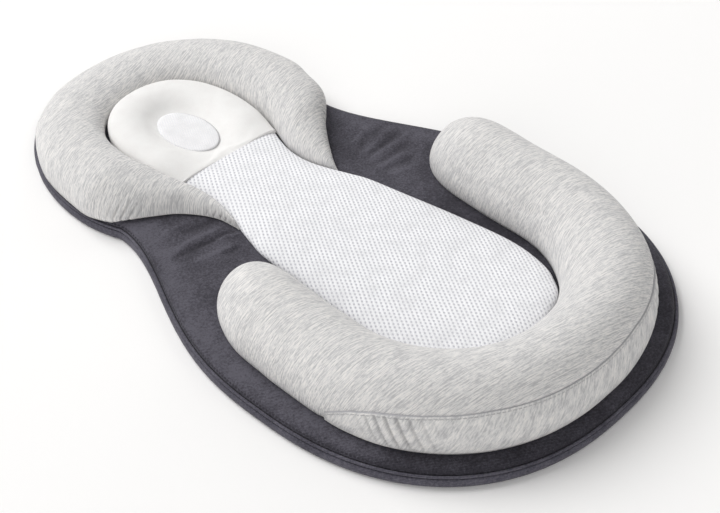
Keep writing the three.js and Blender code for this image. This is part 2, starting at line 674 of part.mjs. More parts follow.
function panelStation(t, inset) {
  const p = panelEdge.getPoint(t);
  const rise = smooth(limit((PANEL_START_Y - p.y) / PANEL_RISE_LENGTH));
  const fall = limit((p.y - PANEL_END_Y - inset) / PANEL_FALL_LENGTH);
  const height = mix(PANEL_SEAM_HEIGHT, PANEL_HEIGHT, rise) * (1 - (1 - fall) ** 2) ** (1 / 2);
  return {
    centre: new THREE.Vector2(0, Math.max(p.y, PANEL_END_Y + inset)),
    across: new THREE.Vector2(1, 0),
    halfWidth: Math.max(p.x, 0),
    height,
    lift: 0,
    squareness: PANEL_SQUARENESS_SHARE,
  };
}

function panelRows(inset) {
  return steps(PANEL_STATIONS).map((t) => domeRow(panelStation(t, inset), inset));
}

const bodyPanelMesh = () => sheetBody(panelRows(0), panelRows(COVER_THICKNESS));
const bodyPanelFoam = () => loftedBody(panelRows(COVER_THICKNESS + SEAT_GAP));

// Head bolster

const quarterTurns = HEAD_TURN_SHARES.map((share) => (share * Math.PI) / 2);
const neckPoints = PANEL_OUTLINE_SHARES.slice(1, 1 + PANEL_NECK_POINTS).map((share) => (
  panelPoint(share, TUCK_GAP)
));
const armInnerPoints = [...HEAD_SIDE_SHARES.map((share) => wellSidePoint(share, TUCK_GAP)), ...neckPoints];
const lastNeckPoint = neckPoints[PANEL_NECK_POINTS - 1];
const headTip = lastNeckPoint.clone().add(new THREE.Vector2(HEAD_TIP_SPREAD - TUCK_GAP, -HEAD_TIP_LENGTH));

// Inner and outer edge of the right half, from the head end to the tip
const headWellPoints = [
  ...quarterTurns.map((angle) => wellPoint(angle, TUCK_GAP)),
  ...armInnerPoints,
  headTip,
];
const headOuterHalfWidth = HEAD_HALF_WIDTH - HEAD_EDGE_INSET;
const headArmWidth = headOuterHalfWidth - PILLOW_HALF_WIDTH - TUCK_GAP;
const headOuterPoints = [
  ...quarterTurns.map((angle) => new THREE.Vector2(
    headOuterHalfWidth * Math.sin(angle),
    HEAD_WIDEST_Y + (HEAD_LENGTH - HEAD_EDGE_INSET) * Math.cos(angle),
  )),
  ...armInnerPoints.map((p, i) => {
    const [out, back] = HEAD_ARM_SHARES[i];
    return new THREE.Vector2(p.x + out * headArmWidth, p.y - back * headArmWidth);
  }),
  headTip,
];
const headHeightPoints = HEAD_HEIGHT_SHARES.map((share, i) => new THREE.Vector2(i, share * HEAD_HEIGHT));

// Spline from the left tip round the head end to the right tip, through points given for the right side
const mirroredSpline = (points) => new THREE.SplineCurve([
  ...points.slice(1).reverse().map((p) => new THREE.Vector2(-p.x, p.y)),
  ...points,
]);
const headWellEdge = mirroredSpline(headWellPoints);
const headOuterEdge = mirroredSpline(headOuterPoints);
const headHeights = mirroredSpline(headHeightPoints);

// Station of the head bolster, at a share of the way from its left tip to its right tip
function headStation(share) {
  const inner = headWellEdge.getPoint(share);
  const outer = headOuterEdge.getPoint(share);
  const height = Math.max(headHeights.getPoint(share).y, 0);
  const across = outer.clone().sub(inner);
  return {
    centre: inner.clone().add(outer).multiplyScalar(1 / 2),
    across: across.clone().normalize(),
    halfWidth: across.length() / 2,
    height,
    lift: HEAD_LIFT_SHARE * height,
  };
}

const headRows = (inset) => steps(HEAD_STATIONS).map((share) => domeRow(headStation(share), inset));

const headBolsterCover = () => sheetBody(headRows(0), headRows(COVER_THICKNESS));
const headBolsterFilling = () => loftedBody(headRows(COVER_THICKNESS + SEAT_GAP));

// Zip, drawn about its own middle

// Tape on one side: side is 1 or -1
function zipTape(side) {
  const inner = CORD_OUTER + SEAT_GAP;
  const reach = SLOT_HALF_LENGTH + HEM_WIDTH / 2;
  const edges = [side * inner, side * (inner + TAPE_WIDTH)].sort((a, b) => a - b);
  return boxBetween(
    vector(-reach, edges[0], TAPE_BOTTOM),
    vector(reach, edges[1], TAPE_TOP),
  );
}

// Row of teeth on one side, which mesh half a pitch apart from those of the other side
function zipTeeth(side) {
  const shape = new THREE.Shape();
  const count = Math.floor((ROW_END - ROW_START) / TOOTH_PITCH);
  const offset = side > 0 ? TOOTH_PITCH / 4 : (3 * TOOTH_PITCH) / 4;
  const tip = (TOOTH_WIDTH * TOOTH_TIP_SHARE) / 2;
  shape.moveTo(ROW_START, side * CORD_OUTER);
  shape.lineTo(ROW_START, side * CORD_INSET);
  for (let i = 0; i < count; i += 1) {
    const x = ROW_START + offset + i * TOOTH_PITCH;
    shape.lineTo(x - TOOTH_WIDTH / 2, side * CORD_INSET);
    shape.lineTo(x - tip, -side * TOOTH_REACH);
    shape.lineTo(x + tip, -side * TOOTH_REACH);
    shape.lineTo(x + TOOTH_WIDTH / 2, side * CORD_INSET);
  }
  shape.lineTo(ROW_END, side * CORD_INSET);
  shape.lineTo(ROW_END, side * CORD_OUTER);
  const options = { depth: TOOTH_HEIGHT, bevelEnabled: false };
  return new THREE.ExtrudeGeometry(shape, options).translate(0, 0, TOOTH_BOTTOM);
}

// Plate of the slider, wider at its front
function sliderPlate(bottom, top) {
  const half = SLIDER_LENGTH / 2;
  const shape = new THREE.Shape();
  shape.moveTo(-half, -SLIDER_REAR_HALF_WIDTH);
  shape.lineTo(0, -SLIDER_REAR_HALF_WIDTH);
  shape.lineTo(half / 2, -SLIDER_FRONT_HALF_WIDTH);
  shape.quadraticCurveTo(half, -SLIDER_FRONT_HALF_WIDTH, half, 0);
  shape.quadraticCurveTo(half, SLIDER_FRONT_HALF_WIDTH, half / 2, SLIDER_FRONT_HALF_WIDTH);
  shape.lineTo(0, SLIDER_REAR_HALF_WIDTH);
  shape.lineTo(-half, SLIDER_REAR_HALF_WIDTH);
  const options = { depth: top - bottom, bevelEnabled: false, curveSegments: CORNER_SEGMENTS };
  return new THREE.ExtrudeGeometry(shape, options).translate(0, 0, bottom);
}

// Wedge between the plates that parts the two rows of teeth
function sliderPost() {
  const front = SLIDER_LENGTH / 2 - SLIDER_PLATE / 2;
  const shape = new THREE.Shape();
  shape.moveTo(front - SLIDER_POST_LENGTH, 0);
  shape.lineTo(front - SLIDER_POST_LENGTH / 3, -SLIDER_POST_HALF_WIDTH);
  shape.lineTo(front, 0);
  shape.lineTo(front - SLIDER_POST_LENGTH / 3, SLIDER_POST_HALF_WIDTH);
  const bottom = SLIDER_LOWER_TOP - SLIDER_PLATE / 2;
  const options = { depth: SLIDER_UPPER_BOTTOM + SLIDER_PLATE / 2 - bottom, bevelEnabled: false };
  return new THREE.ExtrudeGeometry(shape, options).translate(0, 0, bottom);
}

// Slider with lips over the tapes and a crown that holds the pull
function zipSlider() {
  const half = SLIDER_LENGTH / 2;
  const lipInner = SLIDER_REAR_HALF_WIDTH - SLIDER_LIP_WIDTH;
  const lips = [-1, 1].flatMap((side) => {
    const edges = [side * lipInner, side * SLIDER_REAR_HALF_WIDTH].sort((a, b) => a - b);
    return [
      boxBetween(
        vector(-half, edges[0], SLIDER_LOWER_BOTTOM),
        vector(half / 2, edges[1], TAPE_BOTTOM - SEAT_GAP),
      ),
      boxBetween(
        vector(-half, edges[0], TAPE_TOP + SEAT_GAP),
        vector(half / 2, edges[1], SLIDER_UPPER_TOP),
      ),
    ];
  });
  const crownBottom = SLIDER_LOWER_BOTTOM - CROWN_WINDOW - CROWN_BAR;
  const crown = boxBetween(
    vector(-CROWN_HALF_LENGTH, -CROWN_HALF_WIDTH, crownBottom),
    vector(CROWN_HALF_LENGTH, CROWN_HALF_WIDTH, SLIDER_LOWER_TOP),
  );
  const windowHalf = CROWN_HALF_LENGTH - CROWN_LEG;
  const window = boxBetween(
    vector(-windowHalf, -OVERRUN, SLIDER_LOWER_BOTTOM - CROWN_WINDOW),
    vector(windowHalf, OVERRUN, SLIDER_LOWER_BOTTOM),
  );
  const bridge = solid(crown).subtract(solid(window));
  const pieces = [
    sliderPlate(SLIDER_LOWER_BOTTOM, SLIDER_LOWER_TOP),
    sliderPlate(SLIDER_UPPER_BOTTOM, SLIDER_UPPER_TOP),
    sliderPost(),
    ...lips,
  ];
  return geometryOf(pieces.reduce((whole, piece) => whole.add(solid(piece)), bridge));
}

// Pull tab, drawn about its hinge line and pointing to -X
function zipPull() {
  const shape = new THREE.Shape();
  const eyeHalf = PULL_EYE_HALF_WIDTH + PULL_SIDE;
  const eyeEnd = -PULL_BAR / 2 - PULL_EYE_LENGTH;
  const shoulder = eyeEnd - PULL_SIDE;
  const tabStart = shoulder - PULL_HALF_WIDTH;
  const tabEnd = PULL_HALF_WIDTH - PULL_LENGTH;
  shape.moveTo(PULL_BAR / 2, -eyeHalf);
  shape.lineTo(PULL_BAR / 2, eyeHalf);
  shape.lineTo(shoulder, eyeHalf);
  shape.lineTo(tabStart, PULL_HALF_WIDTH);
  shape.lineTo(tabEnd, PULL_HALF_WIDTH);
  shape.absarc(tabEnd, 0, PULL_HALF_WIDTH, Math.PI / 2, (3 * Math.PI) / 2, false);
  shape.lineTo(tabStart, -PULL_HALF_WIDTH);
  shape.lineTo(shoulder, -eyeHalf);
  const eye = new THREE.Path();
  eye.moveTo(-PULL_BAR / 2, -PULL_EYE_HALF_WIDTH);
  eye.lineTo(eyeEnd, -PULL_EYE_HALF_WIDTH);
  eye.lineTo(eyeEnd, PULL_EYE_HALF_WIDTH);
  eye.lineTo(-PULL_BAR / 2, PULL_EYE_HALF_WIDTH);
  const hole = new THREE.Path();
  hole.absarc(tabEnd, 0, PULL_HOLE_RADIUS, 0, 2 * Math.PI, true);
  shape.holes.push(eye, hole);
  const options = { depth: PULL_THICKNESS, bevelEnabled: false, curveSegments: 2 * CORNER_SEGMENTS };
  return new THREE.ExtrudeGeometry(shape, options).translate(0, 0, -PULL_THICKNESS / 2);
}

// Stop between the tapes at the closed end of the rows
function zipBottomStop() {
  const end = ROW_START - SEAT_GAP;
  return boxBetween(
    vector(end - STOP_LENGTH, -CORD_OUTER, TOOTH_BOTTOM),
    vector(end, CORD_OUTER, TOOTH_TOP),
  );
}

// Stop on the edge of one tape, past the slider's resting place
function zipTopStop(side) {
  const start = ZIP_TRAVEL / 2 + SLIDER_LENGTH / 2 + STOP_CLEARANCE;
  const edges = [side * SLIDER_POST_HALF_WIDTH, side * CORD_OUTER].sort((a, b) => a - b);
  return boxBetween(
    vector(start, edges[0], TOOTH_BOTTOM),
    vector(start + STOP_LENGTH, edges[1], TOOTH_TOP),
  );
}

function makeZip() {
  const zip = new THREE.Group();
  const slider = mesh('zip_slider', zipSlider(), enamelledMetal());
  const pull = mesh('zip_pull', zipPull(), enamelledMetal());
  slider.position.set(ZIP_TRAVEL / 2, 0, 0);
  pull.position.set(ZIP_TRAVEL / 2, 0, PULL_Z);
  zip.add(
    mesh('zip_tape_left', zipTape(-1), slate()),
    mesh('zip_tape_right', zipTape(1), slate()),
    mesh('zip_teeth_left', zipTeeth(-1), moulded()),
    mesh('zip_teeth_right', zipTeeth(1), moulded()),
    mesh('zip_bottom_stop', zipBottomStop(), enamelledMetal()),
    mesh('zip_top_stop_left', zipTopStop(-1), enamelledMetal()),
    mesh('zip_top_stop_right', zipTopStop(1), enamelledMetal()),
    slider,
    pull,
  );
  zip.position.set(0, ZIP_Y, 0);
  return zip;
}

const lounger = new THREE.Group();
lounger.add(
  mesh('base_underside_head_panel', baseUndersidePanel(1), slate()),
  mesh('base_underside_foot_panel', baseUndersidePanel(-1), slate()),
  mesh('base_underside_tab_left', baseUndersideTab(-1), slate()),
  mesh('base_underside_tab_right', baseUndersideTab(1), slate()),
  mesh('base_edge_band', baseEdgeBand(), slate()),
  mesh('base_edge_piping', baseEdgePiping(), slate()),
  mesh('base_wadding_lower_head', baseWaddingLower(1), wadding()),
  mesh('base_wadding_lower_foot', baseWaddingLower(-1), wadding()),
  mesh('base_wadding_upper', baseWaddingUpper(), wadding()),
  mesh('base_top_panel', baseTopPanel(), slate()),
  mesh('head_bolster_cover', headBolsterCover(), heather()),
  mesh('head_bolster_filling', headBolsterFilling(), wadding()),
  mesh('head_pillow_cover', headPillowCover(), whiteJersey()),
  mesh('head_pillow_foam', headPillowFoam(), foam()),
  mesh('head_pillow_disc', headPillowDisc(), spacerMesh()),
  mesh('body_panel_mesh', bodyPanelMesh(), spacerMesh()),
  mesh('body_panel_foam', bodyPanelFoam(), foam()),
  mesh('leg_bolster_cover', legBolsterCover(), heather()),
  mesh('leg_bolster_gusset', legBolsterGusset(), heather()),
  mesh('leg_bolster_filling', legBolsterFilling(), wadding()),
  makeZip(),
);

export default lounger;
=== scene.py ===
# Looks of the infant lounger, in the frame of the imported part: +Z up, +Y to the head end, +X to the right.
# Lengths are in millimetres unless their names say otherwise, and colours are sRGB as they are seen.

import math

import bpy
import numpy as np
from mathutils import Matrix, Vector, noise


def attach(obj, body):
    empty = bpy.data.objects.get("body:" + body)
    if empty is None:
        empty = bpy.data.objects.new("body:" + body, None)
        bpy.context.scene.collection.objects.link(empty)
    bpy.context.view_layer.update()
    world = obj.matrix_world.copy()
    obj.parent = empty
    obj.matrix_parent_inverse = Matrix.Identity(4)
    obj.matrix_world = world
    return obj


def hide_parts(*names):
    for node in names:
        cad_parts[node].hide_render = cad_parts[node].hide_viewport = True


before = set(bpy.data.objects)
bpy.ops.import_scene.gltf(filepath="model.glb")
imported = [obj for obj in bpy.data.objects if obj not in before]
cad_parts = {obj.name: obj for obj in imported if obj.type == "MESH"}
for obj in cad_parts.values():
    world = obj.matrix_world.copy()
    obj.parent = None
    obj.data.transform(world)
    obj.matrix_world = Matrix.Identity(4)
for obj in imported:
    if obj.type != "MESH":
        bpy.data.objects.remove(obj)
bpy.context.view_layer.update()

MM = 0.001

# Overall sizes and heights of the part
LENGTH = 666
WIDTH = 400
BASE_HEIGHT = 16
FLOOR_OF_CUSHIONS = 16.3
SEAT_GAP = 0.3
TUCK_GAP = 1.8

# Outline of the base
FOOT_LENGTH = 208
FOOT_SQUARENESS = 2.31
HEAD_LENGTH = 161
HEAD_HALF_WIDTH = 139.5
WAIST_LENGTH = 47
WAIST_HALF_WIDTH = 131
FOOT_BLEND = 1.4
HEAD_BLEND = 0.57
OUTLINE_SAMPLES = 120
BASE_STATIONS = 600
RIM_SAMPLES = 2400
FOOT_WIDEST_Y = FOOT_LENGTH - LENGTH / 2
HEAD_WIDEST_Y = LENGTH / 2 - HEAD_LENGTH
WAIST_Y = HEAD_WIDEST_Y - WAIST_LENGTH

# Top fabric of the base: its seam and roll, and the line toward which its rings shrink
TOP_SEAM_INSET = 4
TOP_SEAM_Z = 10
TOP_ROLL = 6
TOP_ROLL_STEPS = 9
TOP_RINGS = 84
TOP_REACH = 60
TOP_BOTTOM_Z = 8.6
TOP_BOTTOM_INSET = 6
SPINE_ENDS_Y = (-120, 205)
TOP_SAG = 0.35
RIM_DIP = 0.5
RIM_DIP_INSET = 14
RIM_DIP_WIDTH = 9
RIM_STITCH_INSET = 4.9
# Folds of the top fabric beside the neck: start x and y, end x and y, bow, rise and half width
NECK_FOLDS = (
    (-119, 87, -82, 85, 2, 0.9, 2.6), (-131, 64, -62, 56, 3, 1.1, 2.6), (-86, 49, -58, 35, 2, 0.9, 1.5),
    (-123, 41, -68, 28, 3, 0.9, 3), (-146, 23, -126, 18, 0, 0.5, 4), (-117, 103, -96, 103, 1, 0.7, 2.2),
    (-104, 78, -60, 66, 1, -0.9, 4), (-136, 57, -60, 45, 4, -1.5, 3.2), (-97, 33, -72, 25, 1, -0.9, 3),
    (-128, 52, -100, 49, 0, -0.7, 3), (-110, 14, -84, 6, 1, 0.4, 3.5), (-112, 8, -90, 0, 1, -0.5, 3),
    (84, 24, 156, 25, 0, 0.9, 2.6), (79, 32, 150, 44, 1, 0.8, 2.6), (86, 52, 138, 61, 1, 0.7, 2.6),
    (74, 13, 130, 4, 1, 0.8, 2.6), (105, 71, 133, 78, 0, 0.5, 2.6), (84, -6, 122, -15, 1, 0.5, 2.6),
    (84, 28, 150, 34, 1, -0.8, 2.6), (88, 44, 142, 52, 1, -0.7, 3), (80, 18, 140, 14, 0, -0.8, 3),
    (84, 4, 126, -4, 1, -0.7, 3),
)
NECK_FOLD_WANDER = 0.9
NECK_FOLD_WAVES = 9
NECK_FOLD_ENDS = (0.3, 0.25)
NECK_SINK = 1.1
NECK_SINK_PLACE = (106, 44)
NECK_SINK_REACH = (38, 42)
# Painted highlight along the rim, and painted shade at the foot end and inside the leg bolster, where the
# bolster's shadow falls
RIM_PAINTED_HIGHLIGHT = 0.8
RIM_HIGHLIGHT_INSET = 12
RIM_HIGHLIGHT_WIDTH = 5
PAINTED_SHADE = 1.15
FOOT_SHADE_Y = -150
FOOT_SHADE_LENGTH = 120
INNER_SHADE_Y = -30
INNER_SHADE_LENGTH = 60
INNER_SHADE_EDGE = 20

# Side band and piping of the base
BAND_BOTTOM = 0.3
BAND_TOP = 8.4
BAND_BULGE = 1.1
BAND_THICKNESS = 1.4
BAND_STEPS = 8
PIPING_RADIUS = 1.24
PIPING_INSET = 2.4
PIPING_Z = 10
PIPING_SIDES = 12

# Points of the bolsters' sections over the dome and below it, and the same for the simulation
SECTION_POINTS = (49, 11)
SIM_SECTION_POINTS = (25, 6)
DOME_POINTS = SECTION_POINTS[0]
SMALLEST_HALF_WIDTH = 0.05
SMALLEST_LIFT = 0.01
# Below these heights over the base the cushions stay even
LEG_EVEN_HEIGHT = 1
RING_EVEN_HEIGHT = 2
PANEL_EVEN_HEIGHT = 6
# How high over the base the cushions end
LEG_END_RISE = 0.5
RING_END_RISE = 0.2
PANEL_END_RISES = (3, 0.1)

# Leg bolster
LEG_HALF_SPAN = 136.5
LEG_HALF_WIDTH = 38.5
LEG_HEIGHT = 58
LEG_LIFT = 14
LEG_REACH = 136.5
LEG_SQUARENESS = 2.26
LEG_CORNER_SWELL = 2.5
LEG_BEND_SHARE = 0.32
LEG_ARM_LENGTH = 127.5
LEG_TOE_IN = 1
LEG_CAP_LENGTH = 62
LEG_CAP_SQUARENESS = 2.3
LEG_FOOT_INSET = 15.5
LEG_BEND_Y = LEG_FOOT_INSET + LEG_HALF_WIDTH - LENGTH / 2 + LEG_REACH
LEG_EASING = 0.35
LEG_STATIONS = 250
LEG_SIM_STATIONS = 120
PATH_SAMPLES = 1600
# How far the soft bolster leans along X at places along Y
LEAN_PLACES = (-300, -200, -110, -70, -15)
LEAN_SIZES = (-3, -2, 0, 3, 7)
# How far the left end is drawn inward and toward the head
LEFT_END_START = -72
LEFT_END_LENGTH = 60
LEFT_END_SHIFT = (6, 4.6)
# Long folds inside the right arm: start and end from its end, shares of the section, depth, half width
ARM_FOLDS = (
    (26, 118, 0.62, 0.74, 1.3, 2.4), (50, 150, 0.72, 0.84, 1.5, 2.4), (84, 172, 0.66, 0.8, 1.1, 2.2),
    (30, 90, 0.8, 0.88, 1.1, 2.2), (110, 190, 0.84, 0.74, 1.1, 2.4),
)
ARM_FOLD_END = 0.3
ARM_FOLD_WANDER = 0.012
ARM_FOLD_WANDER_PITCH = 7

# Side panel of the leg bolster: its seam runs at shares of the section, at places from the foot's middle
SEAM_PLACES = (0, 40, 90, 125, 150, 163, 178, 190, 200, 205)
SEAM_SHARES_LEFT = (0.236, 0.242, 0.25, 0.236, 0.214, 0.196, 0.155, 0.105, 0.045, 0)
SEAM_SHARES_RIGHT = (0.236, 0.24, 0.205, 0.13, 0.1, 0.095, 0.09, 0.075, 0.04, 0)
SEAM_FADE_SHARE = 0.08
SEAM_GROOVE = 0.8
SEAM_GROOVE_WIDTH = 1.7
GUSSET_RECESS = 1.3
GUSSET_RECESS_EDGE = 3
GUSSET_HALF_LENGTH = 197
# Creases across the side panel: their middle from the middle of the foot, spread, pitch, slant and depth
GUSSET_CREASES = ((-153, 21, 6.8, 12, 2.0), (84, 20, 9, 10, 1.1))
CREASE_WANDER = 0.9
CREASE_WANDER_PITCH = 9
CREASE_ENDS = (0.25, 0.12)
CREASE_SWELL_SHARE = 0.6
GUSSET_PROUD = 1.3
GUSSET_FOOT_SWELL = 2.2
GUSSET_FOOT_SWELL_SHARE = 0.15
GUSSET_EDGE_SHARES = (0.75, 0.05)
GUSSET_START_SHARE = 0.004
GUSSET_ROW_EASING = 1.5
GUSSET_THICKNESS = 0.9
GUSSET_ROWS = 18
GUSSET_STATIONS = 700
GUSSET_STITCH_PLACE = 2.4
GUSSET_SEAM_HALF_WIDTH = 0.6
GUSSET_SEAM_EDGE_SHARE = 0.7

# Head bolster
# How far the ring's outer edge lies inside the base from the head to its widest place
HEAD_INSETS_RIGHT = (9.5, 7.2, 4, 1.2, -0.4)
HEAD_INSETS_LEFT = (9.5, 7.4, 3.4, 1.4, 1)
HEAD_LIFT_SHARE = 0.12
HEAD_RIM_Z = 11.5
HEAD_LEAST_HEIGHT = 0.1
HEAD_TURN_SHARES = (0, 0.25, 0.5, 0.75, 1)
HEAD_SIDE_SHARES = (0.44, 0.8)
# Outer edge of the ring's arms from the head to the tips
HEAD_OUTER_RIGHT = (
    (133.6, 139.5), (126.2, 116.6), (112, 100.8), (97, 87.2), (82.8, 70.7), (70, 54.1), (61.7, 42.2),
    (57, 32.7),
)
HEAD_OUTER_LEFT = (
    (-135.6, 147), (-126.2, 129), (-106.6, 114.8), (-87.2, 100.6), (-73, 83.2), (-64.6, 66.5), (-62, 51.5),
    (-61, 42),
)
# How far the arms' inner edges lie past their plain clearance, from the head to the tips
HEAD_INNER_SHIFTS_LEFT = (0, 0.8, 1.8, 2, 1.6, 1.2, 3.6, 6.4, 7.9, 8.8, 9.8, 9.8, 5.5)
HEAD_INNER_SHIFTS_RIGHT = (0, 0, 0, 0.3, 0.8, 1.4, 2.2, 1.2, 0.3, 0, 0, 0, 0)
HEAD_HEIGHTS_RIGHT = (19.5, 22, 26.5, 31, 33.5, 34, 33, 30, 25, 19.4, 13.6, 8.2, 0)
HEAD_HEIGHTS_LEFT = (19.5, 20.5, 24.5, 29, 31.5, 29, 24.5, 19.5, 16, 13.5, 10.8, 7, 0)
# How square the ring's section is on its outer side, from the left tip to the right, and on its inner side
HEAD_SQUARENESS = (
    1.8, 1.7, 1.6, 1.5, 1.5, 1.5, 1.55, 1.7, 1.85, 1.95, 1.85, 1.75, 1.7, 1.75, 1.85,
) + (2,) * 10
HEAD_INNER_SQUARENESS = 2.35
# How far the ring's crest leans toward the pillow, as a share of its half width, from the left tip on
HEAD_CREST_SHARES = (0, 0.2, 0.38, 0.44, 0.42, 0.36, 0.24, 0.1) + (0,) * 17
HEAD_STATIONS = 640
HEAD_SIM_STATIONS = 120
# Gathers along the ring's lower edge: places from its left and its right tip, and their size
GATHERS_LEFT = (20, 95)
GATHERS_RIGHT = (70, 36)
GATHER_DEPTH = 1.2
GATHER_SPREAD = 15
GATHER_PITCH = 6.2
GATHER_SHARE = 0.1
GATHER_SPREAD_SHARE = 0.13

# How far the flecks of the covers are turned from the width of the part, in degrees
HEAD_FLECK_TURN = 11
LEG_FLECK_TURN = -14

# Head pillow and the disc in its dish
PILLOW_HALF_WIDTH = 66
PILLOW_TOP_Y = 256
PILLOW_SQUARENESS = 2.25
SEAM_Y = 117
SEAM_HALF_WIDTH = 56
SEAM_SAMPLES = 40
SEAM_CLEARANCE = 0.1
SEAM_MARGIN = 1
PILLOW_NARROWING = 1.6
PILLOW_HEIGHT = 16.5
# Section of the pillow from its foot to the dish: share of the way outward and share of the height
PILLOW_PROFILE_SHARES = (
    (1.005, 0), (1.012, 0.3), (1, 0.56), (0.94, 0.8), (0.82, 0.94), (0.66, 1), (0.5, 0.98), (0.3, 0.8),
    (0.12, 0.5), (0, 0.34),
)
PILLOW_EDGE_SHARE = 0.93
PILLOW_SLOPE_LENGTH = 36
PILLOW_SLOPE_SHARE = 1.6
PILLOW_SEAM_HEIGHT_SHARE = 0.64
# The pillow's left side lies further out toward the seam
PILLOW_LEFT_SHIFT = 5
PILLOW_LEFT_START = 40
PILLOW_LEFT_Y = 172
PILLOW_LEFT_LENGTH = 55
# Where the pillow would end below its seam if it weren't sewn off there: half width and y
PILLOW_TAIL = ((52, 104), (40, 92), (22, 86), (0, 84))
PILLOW_STATIONS = 176
PILLOW_ROWS = 46
PILLOW_FLAT_ROWS = 8
DISH_SCALES = (0.94, 0.7, 0.4, 0.15)
DISH_GAP = 0.9
# The seam between pillow and panel is a little slanted
SLANT = 0.055
SLANT_Y = (50, 200)
SLANT_END_SHARE = 1 / 3
DISC_Y = 174.7
DISC_HALF_WIDTH = 23.5
DISC_HALF_LENGTH = 37
DISC_THICKNESS = 1.6
DISC_CROWN = 0.8
DISC_CROWN_LENGTH = 9
DISC_SINK = 0.3
# Scales of the disc's oval at its foot and at its sewn edge, and how much it shrinks to its middle
DISC_SCALES = (0.97, 0.988, 0.98)
DISC_RINGS = 12

# Body panel
PANEL_HALF_WIDTH = 86.5
PANEL_START_Y = 116.7
PANEL_END_Y = -239.3
PANEL_OUTLINE_SHARES = (
    (0, 0.647), (0.036, 0.59), (0.076, 0.545), (0.118, 0.526), (0.16, 0.535), (0.205, 0.58), (0.27, 0.68),
    (0.33, 0.765), (0.468, 0.856), (0.609, 0.948), (0.749, 1), (0.84, 0.955), (0.9, 0.85), (0.955, 0.62),
    (1, 0),
)
# How far the panel's left edge lies past its mirrored right edge, at places along Y
PANEL_LEFT_PLACES = (-239, -190, -150, -110, -50, -1, 16, 33, 47, 60, 80, 100, 117)
PANEL_LEFT_SIZES = (0, -4, -4.5, -3.2, 2.2, 6.5, 8.5, 10, 10.5, 10, 8.5, 7, 5)
PANEL_LEFT_FADE = 30
PANEL_NECK_POINTS = 5
PANEL_HEIGHT = 11.5
PANEL_SEAM_HEIGHT = 10.2
PANEL_RISE_LENGTH = 60
PANEL_FALL_LENGTH = 34
PANEL_SQUARENESS = 3
PANEL_STATIONS = 150
PANEL_EASING = 0.4
PANEL_LEAST_SIZES = (0.3, 0.2)
PANEL_SECTION_POINTS = (61, 9)

# Underside and zip
ZIP_Y = -40
SLOT_HALF_WIDTH = 8
SLOT_HALF_LENGTH = 136.5
HEM_WIDTH = 11
HEM_TOP = 5.2
HEM_STEPS = 7
HEM_FLAT = HEM_TOP / 2 + 2
HEM_SLOPE = 2.5
HEM_STEP = 0.4
HEM_STITCHES = (4, 9)
HEM_STITCH_DEPTH = 0.5
HEM_STITCH_WIDTH = 0.7
NEARLY_FLAT = 0.01
TAPE_INNER = 3
TAPE_WIDTH = 14
TAPE_BOTTOM = 5.5
TAPE_THICKNESS = 0.8
TAPE_HALF_LENGTH = 142
TAPE_STATIONS = 90
LINING_INSET = 2.8
LINING_END_GAP = 0.05
QUILTED_THICKNESS = 2.6
QUILT_PITCH = 46
QUILT_DEPTH = 1.1
QUILT_GROOVE_SHARE = 0.22
QUILT_FADE = 6
UNDERSIDE_ROWS = 130
UNDERSIDE_COLUMNS = 120
UNDERSIDE_EASING = 0.7
TAB_ROWS = 14
TAB_COLUMNS = 21
TAB_CROWN = 0.35

# Smooth unevenness of the pieces: length, height and place in the noise
RIPPLES = {
    "top_broad": (46, TOP_SAG, 3), "top_fine": (13, TOP_SAG / 1.5, 5), "band": (9, 0.22, 9),
    "piping": (5, 0.06, 12), "gathers": (23, 2, 31), "leg": (34, 0.5, 21), "ring": (30, 0.4, 27),
    "pillow": (24, 0.45, 41), "disc": (8, 0.25, 44), "panel": (40, 0.5, 51),
}

# Simulation of the stuffed pieces: the caps are how far a point may move
SIM_FRAMES = 20
SIM_INSET = 0.2
SIM_PRESSURE = 4
LEG_SIM_CAP = 5
HEAD_SIM_CAP = 3.5
PILLOW_SIM_CAP = 2.4
PILLOW_PINNED_ROWS = (2, 7)

# Camera, fitted to the photograph
CAMERA_AZIMUTH = -47.662
CAMERA_ELEVATION = 42.268
CAMERA_DISTANCE = 1407.72
CAMERA_TARGET = (5.155, -56.4, 0)
CAMERA_LENS = 79.468
CAMERA_SHIFT = -0.01715
CAMERA_SENSOR = 36
CAMERA_REACH_M = 100

# Round lamp behind the head end, and suns that fill the shade. Directions run from +X toward +Y, then up
KEY_DIRECTION = (94, 45)
KEY_DISTANCE_M = 8
KEY_SIZE_M = 5.8
KEY_POWER = 560
# Name, direction, strength and angle
SUNS = (("fill_right", (0, 18), 0.56, 60), ("fill_front", (214, 20), 1.14, 60))
WORLD_STRENGTH = 0.28
FLOOR_SIZE_M = 12
FLOOR_COLOUR = (253, 252, 251)

# Colours
SLATE_STOPS = ((0.3, (40, 38, 45)), (0.4, (54, 52, 59)), (0.5, (71, 69, 77)), (0.62, (92, 90, 99)))
BAND_STOPS = ((0.3, (54, 52, 61)), (0.4, (68, 66, 75)), (0.5, (84, 82, 92)), (0.62, (104, 102, 111)))
TAPE_STOPS = ((0.3, (54, 52, 59)), (0.7, (92, 90, 99)))
TEETH_STOPS = ((0.35, (44, 43, 50)), (0.7, (92, 90, 99)))
ENAMEL_STOPS = ((0.45, (52, 51, 58)), (0.75, (112, 111, 118)))
HEATHER_DARK = (186, 185, 186)
HEATHER = (213, 212, 211)
HEATHER_LIGHT = (234, 231, 228)
HEATHER_STOPS = ((0.432, HEATHER_DARK), (0.5, HEATHER), (0.568, HEATHER_LIGHT))
GUSSET_STOPS = ((0.41, HEATHER_DARK), (0.5, HEATHER), (0.6, HEATHER_LIGHT))
PILLOW_STOPS = ((0.3, (248, 246, 244)), (0.62, (255, 254, 252)))
# Painted shade along the seam of the leg bolster's side panel
SEAM_PAINTED_SHADE = (181, 180, 183)
